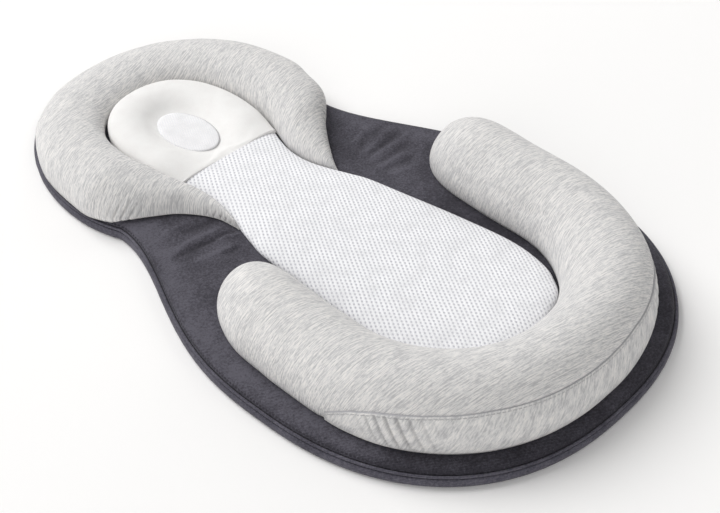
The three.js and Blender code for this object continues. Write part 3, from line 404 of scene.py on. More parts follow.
# Painted shade in the folds of the jerseys: its colour, how much of it shows, and the fold depths over which
# it grows
PAINTED_FOLD_SHADE = (110, 109, 113)
PAINTED_FOLD_SHADE_SHARE = 0.5
FOLD_RANGE = (0.1, 0.9)
THREAD = (54, 52, 59)
# Meshes: pitch along and across, colour of the yarn, colour and radius of the holes, depth of the relief
BODY_MESH = ((4.28, 3.37), (253, 253, 255), (196, 196, 203), 1.2, 0.3)
DISC_MESH = ((2.6, 2.2), (246, 245, 246), (234, 234, 238), 0.9, 0.12)
MESH_STOPS = (0.36, 0.56)
MESH_SHADE = 20
MESH_WANDER = 0.9
HOLE_LENGTH_SHARE = 1.25
HOLE_WIDTH_SHARE = 0.9
HOLE_EDGE_SHARE = 0.45
TWILL_PITCH = 1.9
TWILL_SLANT = 0.7
TAPE_RIB_PITCH = 0.8
TAPE_HERRINGBONE = 1.6
# Scale of the jerseys' ribs along each axis of the cloth
HEATHER_RIBS = (0.3, 1 / 1.1, 1)
PILLOW_RIBS = (1 / 1.2, 0.2, 1)
# Depth of the relief
JERSEY_RELIEF = 0.3
PILLOW_RELIEF = 0.25
TWILL_RELIEF = 0.3
TAPE_RELIEF = 0.2
TEETH_RELIEF = 0.05
METAL_RELIEF = 0.03
# Stitches: pitch and half width
GUSSET_STITCHES = (3.4, 0.5)
RIM_STITCHES = (3.6, 0.55)
STITCH_EDGE_SHARE = 0.6
STITCH_LENGTH_SHARES = (0.3, 0.36)
GUSSET_FLECK_TURN = 1.15

# Noise of the materials: size along each axis, detail and roughness
NOISES = {
    "fleck": ((9, 0.95, 1), 3, 0.55), "long_fleck": ((20, 1.15, 1), 2, 0.55),
    "fine_fleck": ((4, 0.7, 1), 2, 0.55), "broad_fleck": ((26, 9, 1), 2, 0.55),
    "gusset_fleck": ((7, 1.5, 1), 3, 0.55), "gusset_patch": ((15, 7, 1), 2, 0.55),
    "gusset_fine": ((2.4, 0.6, 1), 2, 0.55), "pillow_patch": ((14, 14, 1), 3, 0.55),
    "pillow_fine": ((1.6, 0.7, 1), 2, 0.6), "mesh_wander": ((1 / 0.12, 1 / 0.12, 1), 2, 0.5),
    "mesh_patch": ((16, 16, 1), 2, 0.5), "mesh_fine": ((0.7, 0.7, 1), 2, 0.6),
    "slate_grain": ((2.1, 2.1, 2.1), 3, 0.8), "slate_patch": ((30, 30, 30), 4, 0.6),
    "tape_grain": ((0.7, 0.7, 0.7), 2, 0.6), "teeth_grain": ((0.5, 0.5, 0.5), 3, 0.6),
    "teeth_rub": ((5, 5, 5), 2, 0.5), "metal_scratch": ((3, 0.25, 0.25), 3, 0.7),
    "metal_wear": ((2, 2, 2), 3, 0.6),
}
NOISE_RANGE = (0.3, 0.7)


# Numbers and curves

def limit(value):
    return np.clip(value, 0, 1)


def ease(value):
    """Zero to one with soft ends."""
    value = limit(value)
    return value * value * (3 - 2 * value)


def fade(share, rise, fall):
    """One in the middle of a stretch from zero to one, and zero at its ends."""
    return ease(share / rise) * ease((1 - share) / fall)


def mix(a, b, t):
    return a + (b - a) * t


def signed_power(value, exponent):
    return np.sign(value) * np.abs(value) ** exponent


def hump(distance, width):
    """A bell of height one."""
    return np.exp(-(distance / width) ** 2)


def spline(points, shares):
    """Points at shares of the way along a smooth curve through points, which may be rows of any length."""
    points = np.asarray(points, float)
    last = len(points) - 1
    place = limit(np.asarray(shares, float)) * last
    index = np.minimum(place.astype(int), last - 1)
    t = (place - index).reshape((-1,) + (1,) * (points.ndim - 1))
    before, start = points[np.maximum(index - 1, 0)], points[index]
    end, after = points[index + 1], points[np.minimum(index + 2, last)]
    leave, arrive = (end - before) / 2, (after - start) / 2
    cubic = 2 * start - 2 * end + leave + arrive
    square = -3 * start + 3 * end - 2 * leave - arrive
    return cubic * t ** 3 + square * t ** 2 + leave * t + start


def distances(line):
    """How far each point lies along a line of points."""
    return np.concatenate([[0], np.cumsum(np.linalg.norm(np.diff(line, axis=0), axis=1))])


def at_places(places, along, values):
    return np.column_stack([np.interp(places, along, column) for column in values.T])


def resample(line, count):
    """Points at equal distances along a line of points, its ends among them."""
    along = distances(line)
    return at_places(np.linspace(0, along[-1], count), along, line)


def closed(loop):
    return np.vstack([loop, loop[:1]])


def inset_loop(loop, distance):
    """A closed loop moved inward."""
    along = np.roll(loop, -1, axis=0) - np.roll(loop, 1, axis=0)
    along /= np.linalg.norm(along, axis=1, keepdims=True)
    return loop + np.column_stack([-along[:, 1], along[:, 0]]) * distance


def ripple(points, name):
    """Smooth unevenness at flat or spatial points."""
    length, height, seed = RIPPLES[name]
    shift = Vector((seed, -seed, seed / 2))
    places = points.reshape(-1, points.shape[-1])
    values = [noise.noise(Vector((*place, 0)[:3]) / length + shift) for place in places]
    return height * np.reshape(values, points.shape[:-1])


def with_z(flat, z):
    return np.column_stack([flat, np.broadcast_to(z, len(flat))])


# Meshes

def grid_faces(rows, columns, closed_rows=False):
    """Quads over points numbered row by row, where each row closes."""
    faces = []
    for i in range(rows if closed_rows else rows - 1):
        for j in range(columns):
            near, far, after = i * columns, ((i + 1) % rows) * columns, (j + 1) % columns
            faces.append((near + j, near + after, far + after, far + j))
    return faces


def store(mesh, name, values):
    """Stores a number, or a vector for grain and seam, on each point of a mesh for its material."""
    kind, field = ("FLOAT_VECTOR", "vector") if name in ("grain", "seam") else ("FLOAT", "value")
    attribute = mesh.attributes.new(name, kind, "POINT")
    attribute.data.foreach_set(field, np.asarray(values, np.float32).ravel())


def make_piece(name, points, faces, grain=None):
    """An object from points in millimetres. Grain gives each point its place in the flat cloth."""
    mesh = bpy.data.meshes.new(name)
    mesh.from_pydata((np.asarray(points, float) * MM).tolist(), [], faces)
    mesh.update()
    if grain is not None:
        store(mesh, "grain", grain)
    mesh.polygons.foreach_set("use_smooth", [True] * len(mesh.polygons))
    piece = bpy.data.objects.new(name, mesh)
    bpy.context.scene.collection.objects.link(piece)
    face_outward(mesh)
    return piece


def places_of(mesh):
    """The places of a mesh's points."""
    co = np.zeros(len(mesh.vertices) * 3)
    mesh.vertices.foreach_get("co", co)
    return co.reshape(-1, 3)


def face_outward(mesh):
    """Turns a closed mesh's faces outward."""
    mesh.calc_loop_triangles()
    corners = np.zeros(len(mesh.loop_triangles) * 3, int)
    mesh.loop_triangles.foreach_get("vertices", corners)
    a, b, c = places_of(mesh)[corners.reshape(-1, 3)].transpose(1, 0, 2)
    if (a * np.cross(b, c)).sum() < 0:
        mesh.flip_normals()


def tube_piece(name, rows, grain, ends=None):
    """A closed body over closed rows, whose ends close on points."""
    count, columns, _ = rows.shape
    if ends is None:
        ends = [rows[0].mean(axis=0), rows[-1].mean(axis=0)]
    grains = np.vstack([grain.reshape(-1, 3), grain[0].mean(axis=0), grain[-1].mean(axis=0)])
    faces = grid_faces(count, columns)
    first, last = count * columns, count * columns + 1
    for j in range(columns):
        after = (j + 1) % columns
        faces.append((first, after, j))
        faces.append((last, (count - 1) * columns + j, (count - 1) * columns + after))
    return make_piece(name, np.vstack([rows.reshape(-1, 3), ends]), faces, grains)


def ring_piece(name, loops):
    """A body whose rows and columns both close."""
    return make_piece(name, np.vstack(loops), grid_faces(len(loops), len(loops[0]), closed_rows=True))


def grid_normals(rows):
    """Outward normals of a grid of closed rows."""
    across = np.roll(rows, -1, axis=1) - np.roll(rows, 1, axis=1)
    normals = np.cross(np.gradient(rows, axis=0), across)
    normals /= np.maximum(np.linalg.norm(normals, axis=2, keepdims=True), 1e-9)
    outward = ((rows - rows.mean(axis=1, keepdims=True)) * normals).sum()
    return normals if outward >= 0 else -normals


def bend_grid(grid, rows, columns):
    """A grid resampled smoothly to other counts of rows and columns."""
    tall = spline(grid, np.linspace(0, 1, rows))
    return spline(tall.transpose(1, 0, 2), np.linspace(0, 1, columns)).transpose(1, 0, 2)


# Materials

def linear(colour):
    """An sRGB colour from 0 to 255 as the linear colour that a shader takes."""
    shares = [value / 255 for value in colour]
    return (*(s / 12.92 if s <= 0.04045 else ((s + 0.055) / 1.055) ** 2.4 for s in shares), 1)


class Value:
    """Output of a node. Sums, products and other uses of it add the nodes that they need."""

    def __init__(self, paint, socket):
        self.paint = paint
        self.socket = socket

    def calculate(self, operation, other=0.0):
        return self.paint.node("ShaderNodeMath", {0: self, 1: other}, operation=operation)

    def __add__(self, other):
        return self.calculate("ADD", other)

    def __sub__(self, other):
        return self.calculate("SUBTRACT", other)

    def __mul__(self, other):
        return self.calculate("MULTIPLY", other)

    def __truediv__(self, other):
        return self.calculate("DIVIDE", other)

    def part(self, name):
        return self.paint.node("ShaderNodeSeparateXYZ", {0: self}, name)

    def scaled(self, scale):
        return self.paint.node("ShaderNodeVectorMath", {0: self, 1: scale}, operation="MULTIPLY")

    def between(self, low, high, out_low=0.0, out_high=1.0):
        """This value from low to high, stretched to run from out_low to out_high."""
        inputs = {"Value": self, "From Min": low, "From Max": high, "To Min": out_low, "To Max": out_high}
        return self.paint.node("ShaderNodeMapRange", inputs)


class Paint:
    """Nodes of one material or of the world."""

    def __init__(self, owner, shader="Principled BSDF"):
        owner.use_nodes = True
        self.material = owner
        self.tree = owner.node_tree
        self.shader = self.tree.nodes[shader]

    def node(self, kind, inputs=None, output=0, **settings):
        """The output of a new node. Its inputs are numbers or other nodes' outputs."""
        made = self.tree.nodes.new(kind)
        for name, value in settings.items():
            setattr(made, name, value)
        for key, value in (inputs or {}).items():
            if isinstance(value, Value):
                self.tree.links.new(value.socket, made.inputs[key])
            else:
                made.inputs[key].default_value = value
        return Value(self, made.outputs[output])

    def attribute(self, name, output="Fac"):
        return self.node("ShaderNodeAttribute", output=output, attribute_name=name)

    def place_in_object(self):
        """The object's own coordinates, in millimetres."""
        return self.node("ShaderNodeTexCoord", output="Object").scaled((1 / MM, 1 / MM, 1 / MM))

    def noise(self, place, name, output="Fac"):
        sizes, detail, roughness = NOISES[name]
        place = place.scaled([1 / size for size in sizes])
        inputs = {"Vector": place, "Scale": 1.0, "Detail": detail, "Roughness": roughness}
        return self.node("ShaderNodeTexNoise", inputs, output)

    def wave(self, place, scale):
        return self.node("ShaderNodeTexWave", {"Vector": place.scaled(scale), "Scale": 1.0}, "Fac")

    def ramp(self, value, stops):
        """A colour ramp from (place, colour) stops."""
        made = self.node("ShaderNodeValToRGB", {"Fac": value}, "Color")
        elements = made.socket.node.color_ramp.elements
        while len(elements) < len(stops):
            elements.new(0.5)
        for element, (place, colour) in zip(elements, stops):
            element.position = place
            element.color = linear(colour)
        return made

    def blend(self, share, first, second):
        """The first colour where share is zero and the second where it is one."""
        return self.node("ShaderNodeMix", {0: share, 6: first, 7: linear(second)}, 2, data_type="RGBA")

    def folds(self, colour):
        """Painted shade: darkens the cloth inside its folds and gathers, where shade falls."""
        return self.blend(self.attribute("fold").between(*FOLD_RANGE, 0.0, PAINTED_FOLD_SHADE_SHARE), colour, PAINTED_FOLD_SHADE)

    def stitches(self, along, off, pitch, half_width):
        """One on the stitches of a sewn line, at a distance off from it."""
        near = off.calculate("ABSOLUTE").between(half_width * STITCH_EDGE_SHARE, half_width, 1.0, 0.0)
        step = (along / pitch).calculate("FRACT") - 0.5
        return near * step.calculate("ABSOLUTE").between(*STITCH_LENGTH_SHARES, 1.0, 0.0)

    def finish(self, colour, roughness, height, depth, sheen=0.0, softness=0.5, specular=0.5, metallic=0.0):
        """Links colour, roughness and a height in millimetres to the shader, and sets its plain numbers."""
        relief = {"Height": height, "Distance": depth * MM, "Strength": 1.0}
        bump = self.node("ShaderNodeBump", relief, "Normal")
        for name, value in (("Base Color", colour), ("Roughness", roughness), ("Normal", bump)):
            self.tree.links.new(value.socket, self.shader.inputs[name])
        numbers = {"Sheen Weight": sheen, "Sheen Roughness": softness, "Specular IOR Level": specular,
                   "Metallic": metallic}
        for name, value in numbers.items():
            self.shader.inputs[name].default_value = value
        return self.material


def new_paint(name):
    return Paint(bpy.data.materials.new(name))


def heather_jersey():
    """Knitted jersey of light and dark yarn, whose flecks run along the first axis of the cloth."""
    paint = new_paint("heather_jersey")
    place = paint.attribute("grain", "Vector")
    names = ("fleck", "long_fleck", "fine_fleck", "broad_fleck")
    fleck, long_fleck, fine, broad = (paint.noise(place, name) for name in names)
    tone = fleck * 0.32 + long_fleck * 0.32 + fine * 0.28 + broad * 0.08
    # Painted shade in the folds and gathers
    colour = paint.folds(paint.ramp(tone, HEATHER_STOPS))
    height = paint.wave(place, HEATHER_RIBS) * 0.25 + fine * 0.8 + fleck * 0.5
    roughness = fleck.between(*NOISE_RANGE, 0.82, 0.97)
    return paint.finish(colour, roughness, height, JERSEY_RELIEF, sheen=0.15, softness=0.6, specular=0.2)


def gusset_jersey():
    """The bolster's jersey cut across its flecks, with a row of stitches below its seam, painted shade along
    the seam and painted shade in its creases.
    """
    paint = new_paint("gusset_jersey")
    place = paint.attribute("grain", "Vector")
    turn = {"Vector": place, "Angle": GUSSET_FLECK_TURN}
    turned_place = paint.node("ShaderNodeVectorRotate", turn, rotation_type="Z_AXIS")
    names = ("gusset_fleck", "gusset_patch", "gusset_fine")
    fleck, patch, fine = (paint.noise(turned_place, name) for name in names)
    plain = paint.ramp(fleck * 0.45 + patch * 0.3 + fine * 0.25, GUSSET_STOPS)
    down = place.part("Y")
    stitches = paint.stitches(place.part("X"), down - GUSSET_STITCH_PLACE, *GUSSET_STITCHES)
    # Painted shade in the groove along the seam
    seam_edge = GUSSET_SEAM_HALF_WIDTH * GUSSET_SEAM_EDGE_SHARE
    seam = down.between(seam_edge, GUSSET_SEAM_HALF_WIDTH, 1.0, 0.0)
    # Painted shade in the creases, over the seam line and stitches
    colour = paint.folds(paint.blend(seam, paint.blend(stitches, plain, HEATHER_DARK), SEAM_PAINTED_SHADE))
    height = fine * 0.8 + fleck * 0.4 - stitches * 1.2 - seam
    roughness = fleck.between(*NOISE_RANGE, 0.84, 0.97)
    return paint.finish(colour, roughness, height, JERSEY_RELIEF, sheen=0.15, specular=0.2)


def white_jersey():
    """Soft white jersey with a faint uneven tone and fine ribs."""
    paint = new_paint("white_jersey")
    place = paint.attribute("grain", "Vector")
    patch, fine = paint.noise(place, "pillow_patch"), paint.noise(place, "pillow_fine")
    colour = paint.ramp(patch * 0.6 + fine * 0.4, PILLOW_STOPS)
    height = fine + paint.wave(place, PILLOW_RIBS) * 0.4
    roughness = patch.between(*NOISE_RANGE, 0.86, 0.96)
    return paint.finish(colour, roughness, height, PILLOW_RELIEF, sheen=0.2, specular=0.25)


def holes(place, pitch, radius):
    """One in the middle of each drawn-out hole of a staggered net, falling to zero at its rim."""
    wide, tall = pitch
    row_place = place.part("Y") / tall
    odd = row_place.calculate("FLOOR").calculate("FLOORED_MODULO", 2.0) * 0.5
    across = (place.part("X") / wide + odd).calculate("FRACT") - 0.5
    along = row_place.calculate("FRACT") - 0.5
    slant = math.atan2(2 * tall, wide)
    cosine, sine = math.cos(slant), math.sin(slant)
    drawn_out = across * (wide * cosine / HOLE_LENGTH_SHARE) + along * (tall * sine / HOLE_LENGTH_SHARE)
    narrow = across * (wide * sine / HOLE_WIDTH_SHARE) - along * (tall * cosine / HOLE_WIDTH_SHARE)
    distance = (drawn_out * drawn_out + narrow * narrow).calculate("SQRT")
    return distance.between(radius * HOLE_EDGE_SHARE, radius, 1.0, 0.0)


def spacer_mesh(name, pitch, white, hole, radius, depth):
    """White knitted mesh with small holes in staggered rows, and yarn that runs on the slant."""
    paint = new_paint(name)
    place = paint.attribute("grain", "Vector")
    shift = paint.noise(place, "mesh_wander", "Color").scaled((MESH_WANDER, MESH_WANDER, 0))
    moved = paint.node("ShaderNodeVectorMath", {0: place, 1: shift}, operation="ADD")
    hole_share = holes(moved, pitch, radius)
    slant = moved.part("X") * (2 * math.pi / pitch[0]) - moved.part("Y") * (math.pi / pitch[1])
    channel = slant.calculate("SINE").between(-1.0, 1.0).calculate("POWER", 2.0)
    patch, fine = paint.noise(place, "mesh_patch"), paint.noise(place, "mesh_fine")
    share = (hole_share * 0.75 + channel * 0.25) * patch.between(*NOISE_RANGE, 0.7, 1.0)
    shade = tuple(value - MESH_SHADE for value in white)
    yarn = paint.ramp(fine * 0.6 + patch * 0.4, tuple(zip(MESH_STOPS, (shade, white))))
    height = fine * 0.25 - channel * 0.5 - hole_share * 0.8
    colour = paint.blend(share, yarn, hole)
    roughness = share.between(0.0, 1.0, 0.8, 0.98)
    return paint.finish(colour, roughness, height, depth, sheen=0.1, specular=0.2)


def slate_fabric(name, stops):
    """Twill: fine slanting ribs and a grainy tone, paler on the ridges of folds as wear and darker in their
    valleys as painted shade, with a painted highlight along the rim, painted shade at the foot end and
    inside the leg bolster, and dark at stitches.
    """
    paint = new_paint(name)
    place = paint.place_in_object()
    slant = place.part("X") + place.part("Y") * TWILL_SLANT + place.part("Z")
    rib = (slant * (2 * math.pi / TWILL_PITCH)).calculate("SINE")
    grain, patch = paint.noise(place, "slate_grain"), paint.noise(place, "slate_patch")
    # Tone from the attribute: wear on fold ridges, painted shade in fold valleys, at the foot end and inside
    # the leg bolster, and a painted highlight along the rim
    tone = grain * 0.65 + patch * 0.35 + rib * 0.04 + paint.attribute("wear_and_painted_light") * 0.1
    edge = paint.attribute("seam", "Vector")
    stitches = paint.stitches(edge.part("X"), edge.part("Y") - RIM_STITCH_INSET, *RIM_STITCHES)
    colour = paint.blend(stitches, paint.ramp(tone, stops), THREAD)
    height = rib * 0.25 + grain - stitches * 0.8
    roughness = grain.between(*NOISE_RANGE, 0.8, 0.97)
    return paint.finish(colour, roughness, height, TWILL_RELIEF, sheen=0.08, specular=0.2)


def woven_tape():
    """Tape woven in a small herringbone."""
    paint = new_paint("woven_tape")
    place = paint.place_in_object()
    slant = place.part("X") + place.part("Y").calculate("PINGPONG", TAPE_HERRINGBONE)
    rib = (slant * (2 * math.pi / TAPE_RIB_PITCH)).calculate("SINE")
    grain = paint.noise(place, "tape_grain")
    tone = rib * 0.16 + grain
    colour = paint.ramp(tone, TAPE_STOPS)
    return paint.finish(colour, grain.between(*NOISE_RANGE, 0.7, 0.9), tone, TAPE_RELIEF, specular=0.3)


def moulded_plastic():
    """Moulded teeth with a fine matt grain and paler rubbed spots."""
    paint = new_paint("moulded_teeth")
    place = paint.place_in_object()
    grain = paint.noise(place, "teeth_grain")
    tone = grain * 0.4 + paint.noise(place, "teeth_rub") * 0.6
    colour = paint.ramp(tone, TEETH_STOPS)
    return paint.finish(colour, tone.between(*NOISE_RANGE, 0.35, 0.6), grain, TEETH_RELIEF)


def enamelled_metal():
    """Enamelled metal, worn brighter in places and finely scratched along the zip."""
    paint = new_paint("enamelled_metal")
    place = paint.place_in_object()
    scratch = paint.noise(place, "metal_scratch")
    tone = scratch * 0.35 + paint.noise(place, "metal_wear") * 0.65
    colour = paint.ramp(tone, ENAMEL_STOPS)
    return paint.finish(colour, tone.between(0.3, 0.8, 0.28, 0.5), scratch, METAL_RELIEF, metallic=0.6)


# Base

def base_outline():
    """Outline of the base, counterclockwise from the foot end."""
    angle = np.linspace(0, math.pi / 2, OUTLINE_SAMPLES)
    t = np.linspace(0, 1, OUTLINE_SAMPLES)[1:]
    power = 2 / FOOT_SQUARENESS
    x = np.concatenate([
        WIDTH / 2 * np.sin(angle) ** power,
        mix(WIDTH / 2, WAIST_HALF_WIDTH, ease(t ** FOOT_BLEND)),
        mix(WAIST_HALF_WIDTH, HEAD_HALF_WIDTH, ease(t ** HEAD_BLEND)),
        HEAD_HALF_WIDTH * np.cos(angle[1:]),
    ])
    y = np.concatenate([
        FOOT_WIDEST_Y - FOOT_LENGTH * np.cos(angle) ** power,
        mix(FOOT_WIDEST_Y, WAIST_Y, t),
        mix(WAIST_Y, HEAD_WIDEST_Y, t),
        HEAD_WIDEST_Y + HEAD_LENGTH * np.sin(angle[1:]),
    ])
    right = resample(np.column_stack([x, y]), BASE_STATIONS // 2 + 1)
    right[[0, -1], 0] = 0
    return np.vstack([right, right[-2:0:-1] * [-1, 1]])


base_loop = base_outline()
rim_line = resample(closed(base_loop), RIM_SAMPLES)


def neck_folds(x, y):
    """Rise of the folds that run outward from the neck on both sides."""
    rise = np.zeros_like(x)
    for x0, y0, x1, y1, bow, height, half_width in NECK_FOLDS:
        length = math.hypot(x1 - x0, y1 - y0)
        along = ((x - x0) * (x1 - x0) + (y - y0) * (y1 - y0)) / length ** 2
        off = ((y - y0) * (x1 - x0) - (x - x0) * (y1 - y0)) / length * np.sign(x1 - x0)
        off = off - 4 * bow * along * (1 - along) + NECK_FOLD_WANDER * np.sin(along * NECK_FOLD_WAVES + x0)
        rise += height * hump(off, half_width) * fade(along, *NECK_FOLD_ENDS)
    return rise


def base_heights(flat, edge):
    """Height of the top fabric at flat places, where edge is how far they are from the rim."""
    x, y = flat.T
    away_x = (np.abs(x) - NECK_SINK_PLACE[0]) / NECK_SINK_REACH[0]
    away_y = (y - NECK_SINK_PLACE[1]) / NECK_SINK_REACH[1]
    neck = NECK_SINK * hump(np.hypot(away_x, away_y), 1)
    sunk = TOP_SAG + RIM_DIP * hump(edge - RIM_DIP_INSET, RIM_DIP_WIDTH) + neck
    height = BASE_HEIGHT - sunk + ripple(flat, "top_broad") + ripple(flat, "top_fine") + neck_folds(x, y)
    return np.minimum(height, BASE_HEIGHT + SEAT_GAP / 2)


def base_top():
    """Quilted top of the base: one body from its seam over the roll to the middle, flat below."""
    loops = [with_z(inset_loop(base_loop, TOP_BOTTOM_INSET), TOP_BOTTOM_Z)]
    insets = [0]
    for share in np.linspace(0, 1, TOP_ROLL_STEPS):
        angle = share * math.pi / 2
        inset = TOP_SEAM_INSET + TOP_ROLL * (1 - math.cos(angle))
        rise = (BASE_HEIGHT - TOP_SEAM_Z) * math.sin(angle)
        flat = inset_loop(base_loop, inset)
        loops.append(with_z(flat, TOP_SEAM_Z + rise + share * (base_heights(flat, inset) - BASE_HEIGHT)))
        insets.append(inset)
    start = flat
    spine_y = np.interp(start[:, 1], [-LENGTH / 2, LENGTH / 2], SPINE_ENDS_Y)
    spine = np.column_stack([np.zeros(len(start)), spine_y])
    reach = np.linalg.norm(spine - start, axis=1)
    for share in np.linspace(0, 1, TOP_RINGS)[1:-1]:
        flat = mix(start, spine, share)
        loops.append(with_z(flat, base_heights(flat, TOP_SEAM_INSET + TOP_ROLL + reach * share)))
        insets.append(TOP_SEAM_INSET + TOP_ROLL + TOP_REACH * share)
    count, columns = len(loops), len(base_loop)
    faces = grid_faces(count, columns)
    faces.append(tuple(range(columns)))
    faces.append(tuple((count - 1) * columns + j for j in range(columns)))
    points = np.vstack(loops)
    piece = make_piece("base_top", points, faces)
    x, y = points[:, 0], points[:, 1]
    # Painted highlight along the rolled rim of the top
    rim_highlight = RIM_PAINTED_HIGHLIGHT * hump(np.array(insets) - RIM_HIGHLIGHT_INSET, RIM_HIGHLIGHT_WIDTH)
    # Painted shade inside the leg bolster and at the foot end, where its shadow falls
    inside = ease((LEG_HALF_SPAN - np.abs(x)) / INNER_SHADE_EDGE)
    inside *= ease((INNER_SHADE_Y - y) / INNER_SHADE_LENGTH)
    painted_shade = PAINTED_SHADE * np.maximum(ease((FOOT_SHADE_Y - y) / FOOT_SHADE_LENGTH), inside)
    # Paler on the ridges of the neck folds as wear and darker in their valleys as painted shade, plus the
    # painted highlight and painted shade above
    store(piece.data, "wear_and_painted_light", neck_folds(x, y) + np.repeat(rim_highlight, columns) - painted_shade)
    edge = np.zeros((count, columns, 3))
    edge[:, :, 0] = distances(base_loop)
    edge[:, :, 1] = np.array(insets)[:, None]
    store(piece.data, "seam", edge)
    return piece


def base_band():
    """Boxed strip round the side, puckered a little by its seams."""
    pucker = ripple(base_loop, "band")[:, None]
    shares = np.linspace(0, 1, BAND_STEPS)
    face = [(BAND_BULGE * (2 * s - 1) ** 2, mix(BAND_BOTTOM, BAND_TOP, s), 4 * s * (1 - s)) for s in shares]
    back = [(inset + BAND_THICKNESS, z, middle) for inset, z, middle in reversed(face)]
    loops = [with_z(inset_loop(base_loop, inset + pucker * middle), z) for inset, z, middle in face + back]
    return ring_piece("base_band", loops)


def base_piping():
    """Corded seam between the band and the top fabric."""
    radius = PIPING_RADIUS + ripple(base_loop, "piping")
    loops = []
    for angle in np.linspace(0, 2 * math.pi, PIPING_SIDES, endpoint=False):
        flat = inset_loop(base_loop, PIPING_INSET - radius[:, None] * math.cos(angle))
        loops.append(with_z(flat, PIPING_Z + radius * math.sin(angle)))
    return ring_piece("base_piping", loops)


# Bolsters

def dome_rows(stations, inset, section_points, squareness=(2, 2)):
    """Closed rows over domed sections that lie on the base, and each point's place in the flat cloth."""
    dome_points, bottom_points = section_points
    centre, across = stations["centre"][:, None, :], stations["across"][:, None, :]
    half = np.maximum(stations["half_width"] - inset, SMALLEST_HALF_WIDTH)[:, None]
    lift = stations["lift"][:, None]
    rise = np.maximum(stations["height"][:, None] - lift - inset, SMALLEST_HALF_WIDTH)
    low = -np.arcsin(np.minimum(lift / rise, 1))
    angle = low + (math.pi - 2 * low) * np.linspace(0, 1, dome_points)
    power = 2 / np.where(np.cos(angle) > 0, *squareness)
    crest = stations.get("crest", np.zeros(len(half)))[:, None]
    out = half * (signed_power(np.cos(angle), power) - crest * np.maximum(np.sin(angle), 0))
    up = np.maximum(lift + rise * signed_power(np.sin(angle), power), 0)
    steps = np.hypot(np.diff(out, axis=1), np.diff(up, axis=1))
    arc = np.concatenate([np.zeros((len(out), 1)), np.cumsum(steps, axis=1)], axis=1)
    arc = arc[:, [dome_points // 2]] - arc
    share = np.linspace(0, 1, bottom_points + 2)[1:-1]
    out, arc = (np.hstack([part, mix(part[:, -1:], part[:, :1], share)]) for part in (out, arc))
    up = np.concatenate([up, np.zeros((len(up), bottom_points))], axis=1)
    rows = np.concatenate([centre + across * out[:, :, None], FLOOR_OF_CUSHIONS + up[:, :, None]], axis=2)
    grain = np.concatenate([centre + across * arc[:, :, None], np.zeros_like(arc)[:, :, None]], axis=2)
    return rows, grain


def turned(grain, degrees):
    """Places in the cloth for flecks that lie at an angle to the width of the part."""
    sine, cosine = math.sin(math.radians(degrees)), math.cos(math.radians(degrees))
    x, y = grain[:, :, 0], grain[:, :, 1]
    return np.stack([x * cosine + y * sine, y * cosine - x * sine, grain[:, :, 2]], axis=2)


def leg_path():
    """Centre line of the leg bolster, from the end of the left arm to that of the right."""
    t = np.linspace(0, 1, PATH_SAMPLES)
    along = np.abs(2 * t - 1) * 2
    angle = np.minimum(along, 1) * math.pi / 2
    arm = np.maximum(along - 1, 0)
    power = 2 / LEG_SQUARENESS
    x = LEG_HALF_SPAN * np.sin(angle) ** power - LEG_TOE_IN * arm ** 2
    y = LEG_BEND_Y - LEG_REACH * np.cos(angle) ** power + LEG_ARM_LENGTH * arm
    return np.column_stack([np.sign(t - 0.5) * x, y])


leg_line = leg_path()
leg_along = distances(leg_line)
leg_length = leg_along[-1]


def leg_places(count):
    """Places of the stations along the leg bolster, closer together near its ends."""
    t = np.linspace(0, 1, count + 2)[1:-1]
    return leg_length * mix(t, (1 - np.cos(math.pi * t)) / 2, LEG_EASING)


def leg_stations(places):
    tangent = at_places(places, leg_along, np.gradient(leg_line, leg_along, axis=0))
    tangent /= np.linalg.norm(tangent, axis=1, keepdims=True)
    across = np.column_stack([tangent[:, 1], -tangent[:, 0]])
    into = limit(np.minimum(places, leg_length - places) / LEG_CAP_LENGTH)
    cap = (1 - (1 - into) ** LEG_CAP_SQUARENESS) ** (1 / LEG_CAP_SQUARENESS)
    corner = np.minimum(np.abs(places / leg_length - 0.5) / LEG_BEND_SHARE, 1)
    swell = LEG_CORNER_SWELL * np.sin(math.pi * corner) ** 2
    return {
        "centre": at_places(places, leg_along, leg_line) - across * swell[:, None],
        "across": across,
        "half_width": (LEG_HALF_WIDTH + swell) * cap,
        "height": LEG_HEIGHT * cap,
        "lift": LEG_LIFT * cap,
    }


def lean(y):
    return np.interp(y, LEAN_PLACES, LEAN_SIZES)


def leg_rows(count, inset, section_points):
    rows, grain = dome_rows(leg_stations(leg_places(count)), inset, section_points)
    end_share = ease((rows[:, :, 1] - LEFT_END_START) / LEFT_END_LENGTH) * (rows[:, :, 0] < 0)
    rows[:, :, 0] += lean(rows[:, :, 1])
    rows[:, :, :2] += end_share[:, :, None] * LEFT_END_SHIFT
    return rows, turned(grain, LEG_FLECK_TURN)


def seam_shares(places):
    """Share of the way over the section where the sewn line of the side panel runs."""
    from_foot = places - leg_length / 2
    away = np.abs(from_foot)
    left = np.interp(away, SEAM_PLACES, SEAM_SHARES_LEFT)
    return np.where(from_foot < 0, left, np.interp(away, SEAM_PLACES, SEAM_SHARES_RIGHT))


def well_points(angle, clearance):
    """Inner edge of the head bolster round the top of the pillow."""
    power = 2 / PILLOW_SQUARENESS
    cosine = np.maximum(np.cos(angle), 0) ** power
    x = (PILLOW_HALF_WIDTH + clearance) * np.sin(angle) ** power
    return np.column_stack([x, mix(HEAD_WIDEST_Y, PILLOW_TOP_Y + clearance, cosine)])


def well_side_points(share, clearance):
    share = np.asarray(share, float)
    x = mix(PILLOW_HALF_WIDTH, SEAM_HALF_WIDTH, share ** PILLOW_NARROWING) + clearance
    return np.column_stack([x, mix(HEAD_WIDEST_Y, SEAM_Y, share)])


